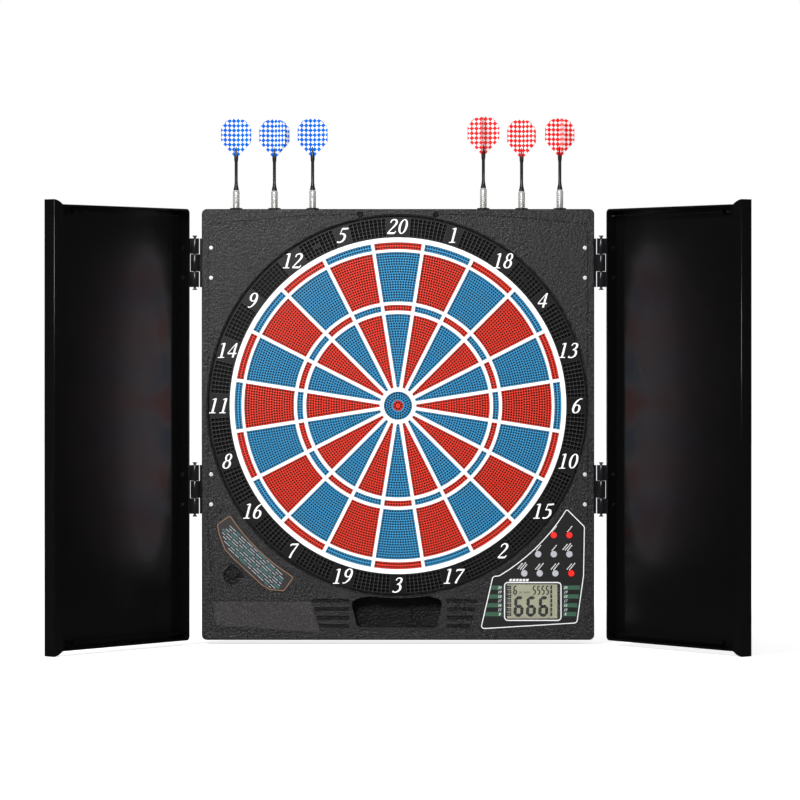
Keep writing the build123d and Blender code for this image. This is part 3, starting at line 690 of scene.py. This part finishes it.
def perforated_sector(inner, outer, half_bar):
    """One segment at the top: a perforated front, eased edges, sides and a floor to its holes painted black
    as shade.
    """
    shape = Shape()
    front, back, ease = SEGMENT_FRONT, SEGMENT_BACK, EASE
    half_wedge = 180.0 / WEDGES

    def swing(radius, extra=0.0):
        return half_wedge - math.degrees(math.asin((half_bar + extra) / radius))

    low, high = inner + ease, outer - ease
    rows = max(2, round((high - low) / HOLE_PITCH))
    step = (high - low) / rows
    for row in range(rows):
        near, far = low + row * step, low + (row + 1) * step
        middle = (near + far) / 2
        width = 2 * math.radians(swing(middle, ease)) * middle
        count = max(1, round(width / HOLE_PITCH))
        for i in range(count):
            corners = []
            for radius, k in ((near, i), (near, i + 1), (far, i + 1), (far, i)):
                half = swing(radius, ease)
                x, _, z = polar(radius, -half + 2 * half * k / count, 0)
                corners.append((x, z))
            centre_x = sum(c[0] for c in corners) / 4
            centre_z = sum(c[1] for c in corners) / 4
            radius = min(HOLE_RADIUS, 0.41 * width / count, 0.41 * step)
            add_hole_cell(shape, corners, (centre_x, centre_z), radius, front, HOLE_DEPTH)
    # eased edge and side walls
    def rim(inset, y):
        arc = max(2, int(swing(outer) * 2 * math.pi / 180 * outer / HOLE_PITCH))
        points = []
        for radius in (inner + inset, outer - inset):
            half = swing(radius, inset)
            span = [-half + 2 * half * k / arc for k in range(arc + 1)]
            if radius > inner + inset:
                span = span[::-1]
            points += [polar(radius, a, y) for a in span]
        return points
    loops = [rim(ease, front), rim(0.0, front + ease), rim(0.0, back)]
    add_loops(shape, loops)
    # the floor under the holes is painted black as shade
    floor = rim(0.0, front + HOLE_DEPTH)
    half_count = len(floor) // 2
    faces = [(i, i + 1, 2 * half_count - 2 - i, 2 * half_count - 1 - i) for i in range(half_count - 1)]
    shape.add(floor, faces, 1)
    return shape


def turned(angle):
    """A function that turns a point about the bull's-eye, clockwise as the player sees it."""
    c, s = math.cos(math.radians(angle)), math.sin(math.radians(angle))
    return lambda p: (p[0] * c + p[2] * s, p[1], p[2] * c - p[0] * s)


def make_segment_rings():
    for node, (inner, outer) in RINGS.items():
        wedge = perforated_sector(inner + SEGMENT_GAP, outer - SEGMENT_GAP, WEB_BAR / 2 + SEGMENT_GAP)
        single = "single" in node
        ring = Shape()
        for i in range(WEDGES):
            blue = (i % 2 == 0) == single
            colour = 0 if blue else 2
            start = len(ring.slots)
            ring.add_copy(wedge, turned(18.0 * i))
            ring.slots[start:] = [1 if s == 1 else colour for s in ring.slots[start:]]
        colours = [SEGMENT_BLUE, HOLE_SHADE_BLACK, SEGMENT_RED]
        ring.piece(node + "_perforated", colours, node, "segment_plastic", replaces=[node])


def make_bull(node, inner, outer, hole_rows, material):
    """A bull segment with rings of holes; hole_rows gives each ring's radii and count."""
    shape = Shape()
    front, back, ease = SEGMENT_FRONT, SEGMENT_BACK, EASE
    for near, far, count in hole_rows:
        for i in range(count):
            corners = []
            for radius, k in ((near, i), (near, i + 1), (far, i + 1), (far, i)):
                x, _, z = polar(radius, 360.0 * k / count, 0)
                corners.append((x, z))
            x, _, z = polar((near + far) / 2, 360.0 * (i + 0.5) / count, 0)
            add_hole_cell(shape, corners, (x, z), 1.24, front, HOLE_DEPTH)
    steps = 64

    def circle(radius, y):
        return [polar(radius, 360.0 * k / steps, y) for k in range(steps)]

    first, last = hole_rows[0][0], hole_rows[-1][1]
    edge = [(last, front), (outer - ease, front), (outer, front + ease), (outer, back)]
    loops = [circle(radius, y) for radius, y in edge]
    add_loops(shape, loops)
    if inner:
        hole = [(first, front), (inner + 0.2, front), (inner, front + 0.2), (inner, back)]
        add_loops(shape, [circle(radius, y) for radius, y in hole], flip=False)
    else:
        small = 8
        rim = [polar(first, 360.0 * k / small, front) for k in range(small)]
        hole = [polar(0.72, 360.0 * k / small, front) for k in range(small)]
        deep = [polar(0.72, 360.0 * k / small, front + HOLE_DEPTH) for k in range(small)]
        shape.add(rim + hole, quad_strip(rim, hole))
        shape.add(hole + deep, quad_strip(hole, deep))
    # the floor under the holes is painted black as shade
    floor = circle(outer - 0.1, front + HOLE_DEPTH)
    if inner:
        shape.add(floor + circle(inner + 0.1, front + HOLE_DEPTH), quad_strip(floor, floor), 1)
    else:
        shape.add(floor, [tuple(range(steps))[::-1]], 1)
    shape.piece(node + "_perforated", [material, HOLE_SHADE_BLACK], node, "segment_plastic", replaces=[node])


make_segment_rings()
OUTER_ROWS = [(7.5, 10.5, 19), (10.5, 13.4, 25), (13.4, 16.0, 31)]  # inner radius, outer radius, holes
make_bull("outer_bull", BULL_INNER + SEGMENT_GAP, BULL_OUTER - SEGMENT_GAP, OUTER_ROWS, SEGMENT_BLUE)
make_bull("inner_bull", 0.0, BULL_INNER, [(2.1, 5.3, 8)], SEGMENT_RED)


# --- number ring ---
RING_IN, RING_OUT = 197.4, 221.5
RING_FRONT, RING_BACK = -44.4, -38.9
RING_FLOOR = RING_BACK - 0.6
CELL_ROWS = 5
CELL_COLUMNS = 280
RIB = 0.6  # width of the ribs that run outwards
HOOP = 0.24  # width of the ribs that run round
PAD_HALF = {1: 2.1, 2: 3.1}  # half the columns that a number's plain pad takes, by its digits
MARKS = (45.0, 135.0, 207.0, 333.0)


def make_number_ring():
    """An openwork ring of square cells with plain pads behind the numbers."""
    shape = Shape()
    pitch = 360.0 / CELL_COLUMNS
    per_wedge = CELL_COLUMNS // WEDGES
    low, high = RING_IN + 1.4, RING_OUT - 1.8
    step = (high - low) / CELL_ROWS

    def is_plain(row, column):
        middle = column + 0.5
        wedge = round(middle / per_wedge) % WEDGES
        away = abs(middle - round(middle / per_wedge) * per_wedge)
        if away < PAD_HALF[len(str(NUMBERS[wedge]))]:
            return True
        angle = middle * pitch
        return row == CELL_ROWS // 2 and any(abs(angle - mark) < 0.8 * pitch for mark in MARKS)

    for column in range(CELL_COLUMNS):
        left, right = column * pitch, (column + 1) * pitch
        for row in range(CELL_ROWS):
            near, far = low + row * step, low + (row + 1) * step
            cell = ((near, left), (near, right), (far, right), (far, left))
            corners = [polar(r, a, RING_FRONT) for r, a in cell]
            if is_plain(row, column):
                shape.add(corners, [(0, 1, 2, 3)], 1)
                continue
            margin = math.degrees(RIB / 2 / near)
            hole = [(near + HOOP / 2, left + margin), (near + HOOP / 2, right - margin),
                    (far - HOOP / 2, right - margin), (far - HOOP / 2, left + margin)]
            top = [polar(r, a, RING_FRONT) for r, a in hole]
            deep = [polar(r, a, RING_FLOOR) for r, a in hole]
            shape.add(corners + top, quad_strip(corners, top))
            shape.add(top + deep, quad_strip(top, deep))
            # the cell's floor is painted black as shade
            shape.add(deep, [(0, 1, 2, 3)], 2)
        # plain rims inside and outside the cells, eased at their edges
        profile = [
            (low, RING_FRONT), (RING_IN + 0.3, RING_FRONT), (RING_IN, RING_FRONT + 0.3), (RING_IN, RING_BACK),
            (RING_OUT, RING_BACK), (RING_OUT, RING_FRONT + 0.4), (RING_OUT - 0.4, RING_FRONT),
            (high, RING_FRONT),
        ]
        for (r1, y1), (r2, y2) in zip(profile, profile[1:]):
            band = [polar(r1, left, y1), polar(r1, right, y1), polar(r2, right, y2), polar(r2, left, y2)]
            shape.add(band, [(3, 2, 1, 0)], 1)
    # the ribs' lighter material is a painted highlight
    shape.piece(
        "number_ring_openwork", [RING_RIB_HIGHLIGHT, RING_BLACK, HOLE_SHADE_BLACK], "cabinet", "ring_plastic",
        replaces=["number_ring"],
    )


make_number_ring()


# --- numerals ---
def loop_stroke(x, z, half_width, half_height, thick, thin):
    """A closed oval stroke, thick at its sides and thin at its top and bottom."""
    count = 12
    stroke = []
    for k in range(count + 1):
        turn = 2 * math.pi * k / count
        pen = thin + (thick - thin) * abs(math.cos(turn)) ** 1.3
        stroke.append((x + half_width * math.cos(turn), z + half_height * math.sin(turn), pen))
    return stroke


SIX = [
    [(0.53, 0.93, 0.07), (0.40, 0.95, 0.07), (0.22, 0.80, 0.12), (0.10, 0.55, 0.15), (0.09, 0.30, 0.16)],
    loop_stroke(0.29, 0.29, 0.20, 0.26, 0.15, 0.06),
]
# Each digit is a few pen strokes of (x, height, pen width), all as shares of the digit's height.
STROKES = {
    "0": [
        loop_stroke(0.30, 0.5, 0.215, 0.455, 0.155, 0.06)],
    "1": [
        [(0.33, 0.97, 0.15), (0.33, 0.5, 0.15), (0.33, 0.04, 0.15)],
        [(0.14, 0.90, 0.05), (0.24, 0.94, 0.07), (0.36, 0.97, 0.06)],
        [(0.12, 0.03, 0.06), (0.33, 0.035, 0.07), (0.54, 0.03, 0.06)]],
    "2": [
        [(0.10, 0.74, 0.08), (0.13, 0.88, 0.09), (0.28, 0.96, 0.08), (0.43, 0.90, 0.13), (0.49, 0.74, 0.16),
         (0.40, 0.54, 0.13), (0.24, 0.32, 0.09), (0.07, 0.08, 0.07)],
        [(0.05, 0.06, 0.10), (0.30, 0.06, 0.13), (0.50, 0.07, 0.11), (0.57, 0.21, 0.04)]],
    "3": [
        [(0.10, 0.80, 0.07), (0.16, 0.92, 0.08), (0.30, 0.96, 0.08), (0.44, 0.88, 0.13), (0.44, 0.70, 0.14),
         (0.33, 0.58, 0.09), (0.22, 0.54, 0.05)],
        [(0.22, 0.54, 0.05), (0.38, 0.52, 0.09), (0.49, 0.38, 0.15), (0.48, 0.18, 0.15), (0.34, 0.05, 0.10),
         (0.18, 0.03, 0.08), (0.05, 0.09, 0.12)]],
    "4": [
        [(0.44, 0.97, 0.06), (0.22, 0.63, 0.06), (0.02, 0.30, 0.06)],
        [(0.02, 0.29, 0.09), (0.30, 0.29, 0.09), (0.60, 0.29, 0.09)],
        [(0.45, 0.97, 0.12), (0.43, 0.5, 0.14), (0.42, 0.03, 0.14)]],
    "5": [
        [(0.18, 0.93, 0.12), (0.36, 0.93, 0.12), (0.56, 0.95, 0.11)],
        [(0.18, 0.95, 0.06), (0.15, 0.75, 0.06), (0.12, 0.57, 0.06)],
        [(0.11, 0.57, 0.06), (0.28, 0.60, 0.10), (0.44, 0.50, 0.15), (0.47, 0.30, 0.16), (0.38, 0.12, 0.13),
         (0.20, 0.03, 0.09), (0.05, 0.07, 0.12)]],
    "6": SIX,
    "7": [
        [(0.10, 0.80, 0.05), (0.12, 0.91, 0.10), (0.34, 0.92, 0.12), (0.58, 0.93, 0.11)],
        [(0.57, 0.95, 0.07), (0.42, 0.62, 0.10), (0.29, 0.32, 0.13), (0.22, 0.03, 0.15)]],
    "8": [
        loop_stroke(0.31, 0.745, 0.165, 0.22, 0.13, 0.06),
        loop_stroke(0.30, 0.28, 0.205, 0.25, 0.15, 0.06)],
    "9": [
        [(0.60 - x, 1.0 - z, pen) for x, z, pen in stroke] for stroke in SIX],
    "B": [
        [(0.14, 0.96, 0.15), (0.14, 0.5, 0.15), (0.14, 0.04, 0.15)],
        [(0.10, 0.96, 0.07), (0.36, 0.94, 0.08), (0.48, 0.76, 0.14), (0.34, 0.55, 0.08), (0.12, 0.53, 0.06)],
        [(0.12, 0.53, 0.06), (0.38, 0.50, 0.08), (0.53, 0.28, 0.15), (0.36, 0.06, 0.09), (0.10, 0.04, 0.07)]],
}
SLANT = 0.26
DIGIT_ADVANCE = 0.68


def smooth_stroke(stroke, steps):
    """Passes a smooth curve through a stroke's points, their pen widths with them."""
    points = np.array(stroke)
    closed = np.allclose(points[0], points[-1])
    count = len(points)
    result = []
    for i in range(count - 1):
        before = points[i - 1] if i else (points[-2] if closed else 2 * points[0] - points[1])
        after = points[i + 2] if i + 2 < count else (points[1] if closed else 2 * points[-1] - points[-2])
        for k in range(steps):
            t = k / steps
            result.append(0.5 * (
                2 * points[i] + (points[i + 1] - before) * t
                + (2 * before - 5 * points[i] + 4 * points[i + 1] - after) * t * t
                + (3 * points[i] - before - 3 * points[i + 1] + after) * t ** 3
            ))
    result.append(points[-1])
    return result


def add_number(shape, text, x, z, height, front, thick, steps=5, bold=1.0):
    """Slanted numerals centred on x and z."""
    width = height * (DIGIT_ADVANCE * (len(text) - 1) + 0.60)
    for place, digit in enumerate(text):
        for layer, stroke in enumerate(STROKES[digit]):
            # each stroke lies a hair in front of the last, so crossings stay clean
            level = front - 0.04 * thick * layer
            path = smooth_stroke(stroke, steps)
            left, right = [], []
            count = len(path)
            for i, (a, b, pen) in enumerate(path):
                before, after = path[max(i - 1, 0)], path[min(i + 1, count - 1)]
                along = np.array((after[0] - before[0], after[1] - before[1]))
                along = along / max(np.linalg.norm(along), 1e-9)
                side = np.array((-along[1], along[0])) * pen * bold / 2
                for row, sign in ((left, 1), (right, -1)):
                    px, pz = a + sign * side[0], b + sign * side[1]
                    px = (px + SLANT * (pz - 0.5) + place * DIGIT_ADVANCE) * height - width / 2 + x
                    row.append((px, (pz - 0.5) * height + z))
            rows = [(left, front + thick), (left, level), (right, level), (right, front + thick)]
            points = [(p[0], y, p[1]) for row, y in rows for p in row]
            faces = []
            for k in range(4):
                one, two = k * count, ((k + 1) % 4) * count
                faces += [(one + i, two + i, two + i + 1, one + i + 1) for i in range(count - 1)]
            faces.append((0, 3 * count, 2 * count, count))
            faces.append((count - 1, 2 * count - 1, 3 * count - 1, 4 * count - 1))
            shape.add(points, faces)


def make_ring_numbers():
    shape = Shape()
    boldness = 0.9
    for i, number in enumerate(NUMBERS):
        x, _, z = polar(210.0, 18.0 * i, 0)
        add_number(shape, str(number), x, z, 17.8, RING_FRONT - 0.35, 0.5, bold=boldness)
    shape.piece("ring_numbers", [DIGIT_WHITE], "cabinet", "web_plastic")


make_ring_numbers()


# --- control panel printing and display ---
PRINT = 0.06  # thickness of printed ink, mm
BUTTONS = {
    "power_button": ((182.6, -151.6), 1), "reset_button": ((200.8, -151.6), 1),
    "game_button": ((164.3, -173.9), 1), "score_button": ((182.6, -173.9), 1),
    "player_button": ((200.8, -173.9), 3),
    "handicap_button": ((148.0, -196.3), 3), "double_button": ((166.1, -196.3), 2),
    "bounce_button": ((184.4, -196.3), 2), "start_button": ((203.1, -196.3), 2),
}


def arc_path(radius, start, end, count):
    """Points about the bull's-eye between two angles, degrees from +X, anticlockwise from the front."""
    angles = np.linspace(math.radians(start), math.radians(end), count)
    return [(radius * math.cos(a), radius * math.sin(a)) for a in angles]


def make_panel_printing():
    front = FACE_Y - PRINT
    shape = Shape()
    corners = [(218.4, -141.8), (217.4, -198.7), (209.6, -254.4), (97.0, -261.3), (111.2, -200.2)]
    inner = arc_path(232.0, -59.2, -33.4, 9)
    outline = rounded_path(corners + inner + [(197.5, -121.0)], 4.0)
    add_line(shape, outline, 1.1, front, FACE_Y)
    frame_line = rounded_path(box_outline(157.9, -229.3, 66.2, 44.4), 4.6)
    add_line(shape, frame_line, 1.3, front, FACE_Y)
    # short bars stand for the buttons' names
    turn = math.radians(50)
    along, across = (math.cos(turn), math.sin(turn)), (-math.sin(turn), math.cos(turn))
    for (x, z), rows in BUTTONS.values():
        for row in range(rows):
            shift = 4.3 + 2.5 * row
            letters = 6 - (row + rows) % 2
            for part in range(letters):
                offset = 2.0 + 1.85 * part - 1.2 * row
                px = x + offset * along[0] + shift * across[0]
                pz = z + offset * along[1] + shift * across[1]
                add_prism(shape, box_outline(px, pz, 1.2, 1.25, 50), front, FACE_Y)
    for part in range(6):
        x = 130.6 + 3.9 * part
        bar = [(x - 0.5, -205.7), (x + 2.4, -205.7), (x + 3.2, -202.9), (x + 0.3, -202.9)]
        add_prism(shape, bar, front, FACE_Y)
    for i, label in enumerate(("20", "19", "18", "17", "16", "15", "B")):
        z = -213.1 - 5.18 * i
        for x in (119.2, 196.4):
            add_number(shape, label, x, z, 3.1, front - 0.02, PRINT, steps=2, bold=1.1)
        if i % 2 == 0:
            left = 109.5 - 0.245 * (-z - 209.0)
            for low, high in ((left, 122.3), (193.4, 213.3 + 0.14 * (z + 213))):
                stripe = [(low, z - 2.45), (high, z - 2.45), (high, z + 2.45), (low, z + 2.45)]
                add_prism(shape, stripe, front + 0.03, FACE_Y, 1)
    shape.piece("panel_printing", [PRINT_WHITE, PRINT_GREEN], "cabinet", "panel_film")


# which of the seven bars each figure lights:
# top, upper left, upper right, middle, lower left, lower right, bottom
SEVEN = {"5": "1101011", "6": "1101111"}


def add_seven(shape, figure, x, z, width, height, bar, front):
    """A seven-bar display figure of slanted pointed bars."""
    half_w, half_h = width / 2, height / 2
    ends = [
        ((-half_w, half_h), (half_w, half_h)), ((-half_w, 0), (-half_w, half_h)),
        ((half_w, 0), (half_w, half_h)),
        ((-half_w, 0), (half_w, 0)), ((-half_w, -half_h), (-half_w, 0)), ((half_w, -half_h), (half_w, 0)),
        ((-half_w, -half_h), (half_w, -half_h)),
    ]
    for lit, (start, end) in zip(SEVEN[figure], ends):
        if lit == "0":
            continue
        a, b = np.array(start), np.array(end)
        along = (b - a) / np.linalg.norm(b - a)
        side = np.array((-along[1], along[0])) * bar / 2
        a, b = a + along * bar * 0.02, b - along * bar * 0.02
        corners = [a, a + along * bar / 2 - side, b - along * bar / 2 - side, b,
                   b - along * bar / 2 + side, a + along * bar / 2 + side]
        outline = [(x + p[0] + 0.06 * p[1], z + p[1]) for p in corners]
        add_prism(shape, outline, front, front + 0.05)


def make_display_figures():
    front = -43.36
    back = front + 0.05
    shape = Shape()
    for i in range(3):
        add_seven(shape, "6", 141.6 + 14.5 * i, -235.3, 7.8, 20.3, 3.8, front)
    add_seven(shape, "6", 137.4, -216.2, 3.0, 9.3, 1.6, front)
    for i in range(4):
        add_seven(shape, "5", 159.8 + 5.1 * i, -216.2, 2.6, 9.3, 1.5, front)
    for i in range(7):
        z = -212.9 - 5.25 * i
        for x in (128.9, 131.6):
            for shift in (-1.15, 1.15):
                add_box(shape, x, z + shift, 2.3, 2.0, front, back)
        add_box(shape, 179.6, z, 2.2, 4.4, front, back)
    # faint captions and grid lines between the figures
    for x, width in ((143.6, 3.2), (151.0, 7.6)):
        add_box(shape, x, -218.8, width, 2.2, front, back, 1)
    for z in (-221.9, -248.0, -210.3):
        add_box(shape, 156.5, z, 56.0, 0.2, front + 0.01, back, 1)
    for x in (134.0, 177.6, 183.0):
        add_box(shape, x, -229.4, 0.2, 39.0, front + 0.01, back, 1)
    # the dark edge of the glass
    add_box(shape, 188.3, -229.4, 3.2, 42.0, front - 0.01, back)
    add_box(shape, 126.9, -229.4, 1.7, 42.0, front - 0.01, back)
    add_box(shape, 157.9, -208.9, 63.0, 0.9, front - 0.01, back)
    add_box(shape, 157.9, -249.9, 63.0, 1.0, front - 0.01, back)
    shape.piece("display_figures", [LCD_INK, LCD_GHOST], "cabinet", "lcd_glass")


def inside_outline(outline, x, z):
    """Whether a point lies inside an outline of (x, z) corners."""
    inside = False
    for (x1, z1), (x2, z2) in zip(outline, outline[1:] + outline[:1]):
        if (z1 > z) != (z2 > z) and x < (x2 - x1) * (z - z1) / (z2 - z1) + x1:
            inside = not inside
    return inside


def make_card_printing():
    front = FACE_Y - PRINT
    shape = Shape()
    inner = arc_path(235.4, 213.2, 238.6, 9)
    corners = [(-133.9, -216.9), (-150.3, -215.2), (-159.5, -209.6), (-192.9, -178.9), (-202.8, -168.0),
               (-209.1, -151.6), (-211.7, -139.5)]
    add_line(shape, rounded_path(inner + corners, 3.0), 0.8, front, FACE_Y)
    # rows of bars stand for the list of games, running down to the right
    turn = -43.0
    c, s = math.cos(math.radians(turn)), math.sin(math.radians(turn))
    middle = (-172.0, -176.0)
    area = arc_path(239.5, 215.5, 236.5, 9)
    area += [(-140.0, -215.0), (-150.0, -213.2), (-158.5, -207.4), (-191.4, -177.0)]
    area += [(-200.6, -166.4), (-206.5, -151.6), (-208.6, -146.0)]
    lengths = (9.0, 6.0, 11.5, 4.5, 7.5, 10.0, 5.5, 8.0)
    k = 0
    for row in range(-5, 6):
        across = 2.9 * row

        def place(position):
            return middle[0] + position * c - across * s, middle[1] + position * s + across * c

        spots = [t / 2 for t in range(-130, 130) if inside_outline(area, *place(t / 2))]
        if not spots:
            continue
        position, end = spots[0] + 1.7 * (row % 3), spots[-1]
        while position < end - 3:
            length = min(lengths[k % len(lengths)], end - position)
            teal = k % 4 == 2
            outline = box_outline(*place(position + length / 2), length, 2.2 if teal else 0.75, turn)
            add_prism(shape, outline, front, FACE_Y, 2 if teal else 1)
            position += length + 1.5
            k += 1
    shape.piece("card_printing", [PRINT_GOLD, PRINT_GREY, PRINT_TEAL], "game_card", "printed_card")


make_panel_printing()
make_display_figures()
make_card_printing()


# --- darts ---
def barrel_profile():
    """A turned barrel with rings cut round its grip."""
    profile = [(0.5, 211.0), (2.6, 211.2), (3.6, 214.0), (4.0, 216.0)]
    z = 217.0
    while z < 248.5:
        profile += [(4.0, z), (3.55, z + 0.25), (3.55, z + 0.8), (4.0, z + 1.05)]
        z += 2.35
    return profile + [(4.0, 250.6), (3.7, 251.4), (3.2, 253.0)]


FLIGHT_OUTLINE = [
    (0.0, 0.0), (2.2, 0.0), (17.7, 16.2), (18.6, 17.4), (18.9, 19.0), (18.9, 32.4), (18.6, 34.0),
    (15.7, 38.4), (14.3, 39.8), (11.1, 42.2), (9.2, 43.2), (4.6, 44.5), (2.6, 44.7), (0.0, 44.7),
]


# height, half width, and near and far distance from the dart's axis
PRONG_SECTIONS = ((293.0, 1.25, 0.3, 2.35), (298.0, 0.95, 0.3, 1.9), (304.2, 0.35, 0.3, 0.9))


def make_flight(number, angles, material):
    """Four thin folded vanes, each with its own flat coordinates for the printed pattern."""
    foot = FLIGHT_FOOT + DART_RISES[number - 1]
    shape = Shape()
    uvs = []
    for degrees in (angles[0], angles[1], angles[0] + 180, angles[1] + 180):
        angle = math.radians(degrees)
        c, s = math.cos(angle), math.sin(angle)
        x0 = DART_X[number - 1]
        for side in (-1, 1):
            bow = 0.10 * side
            points = []
            for a, b in FLIGHT_OUTLINE:
                points.append((x0 + a * c - bow * s, DART_Y + a * s + bow * c, foot + b))
            order = tuple(range(len(points)))
            shape.add(points, [order if side > 0 else order[::-1]])
            uvs += [(a * MM, b * MM) for a, b in (FLIGHT_OUTLINE if side > 0 else FLIGHT_OUTLINE[::-1])]
        count = len(FLIGHT_OUTLINE)
        rim = list(range(count))
        base = len(shape.points) - 2 * count
        pairs = list(zip(rim, rim[1:] + rim[:1]))
        faces = [(base + i, base + j, base + count + j, base + count + i) for i, j in pairs]
        shape.faces.extend(faces)
        shape.slots.extend([0] * len(faces))
        for i, j in pairs:
            a, b = FLIGHT_OUTLINE[i], FLIGHT_OUTLINE[j]
            one, two = (a[0] * MM, a[1] * MM), (b[0] * MM, b[1] * MM)
            uvs += [one, two, two, one]
    name = f"dart_{number}"
    piece = shape.piece(name + "_vanes", [material], name, "flight_film", replaces=[name + "_flight"])
    layer = piece.data.uv_layers.new(name="vane")
    if len(layer.data) == len(uvs):
        layer.data.foreach_set("uv", [value for uv in uvs for value in uv])
    return piece


def make_dart(number):
    x = DART_X[number - 1]
    name = f"dart_{number}"
    centre = (x, DART_Y, DART_RISES[number - 1])
    metal = Shape()
    add_lathe(metal, barrel_profile(), 40, centre=centre)
    barrel = metal.piece(
        name + "_grip", [BARREL], name, "dart_metal", smooth=True, replaces=[name + "_barrel"]
    )
    ease_shading(barrel)
    plastic = Shape()
    tip = [(0.4, 186.0), (0.75, 186.5), (0.9, 192.0), (1.15, 198.0), (1.5, 204.0), (2.6, 205.5), (2.6, 211.0)]
    add_lathe(plastic, tip, 24, 1, centre)
    stem = [
        (3.0, 253.0), (3.15, 253.4), (3.15, 254.6), (2.7, 256.0), (2.2, 259.0), (1.85, 262.5), (1.85, 286.0),
        (2.3, 288.5), (2.45, 290.5), (2.35, 294.0),
    ]
    add_lathe(plastic, stem, 24, 0, centre)
    # four prongs hold the flight's foot
    angles = FLIGHT_ANGLES[number - 1]
    middle = sum(angles) / 2
    for k in range(4):
        angle = math.radians(middle + 90 * k)
        c, s = math.cos(angle), math.sin(angle)
        points, count = [], 4
        for z, half, near, far in PRONG_SECTIONS:
            for a, b in ((near, -half), (far, -half * 0.5), (far, half * 0.5), (near, half)):
                points.append((x + a * c - b * s, DART_Y + a * s + b * c, z + DART_RISES[number - 1]))
        faces = [(3, 2, 1, 0), (8, 9, 10, 11)]
        for row in range(2):
            for i in range(count):
                j = (i + 1) % count
                faces.append((row * 4 + i, row * 4 + j, row * 4 + 4 + j, row * 4 + 4 + i))
        plastic.add(points, faces)
    body = plastic.piece(name + "_stem", [STEM, TIP], name, "dart_metal", smooth=True)
    ease_shading(body)
    make_flight(number, angles, FLIGHT_BLUE if x < 0 else FLIGHT_RED)


def ease_shading(piece):
    """Smooth shading that breaks at real edges."""
    for polygon in piece.data.polygons:
        polygon.use_smooth = True
    piece.data.set_sharp_from_angle(angle=math.radians(38.0))


for dart_number in range(1, 7):
    make_dart(dart_number)
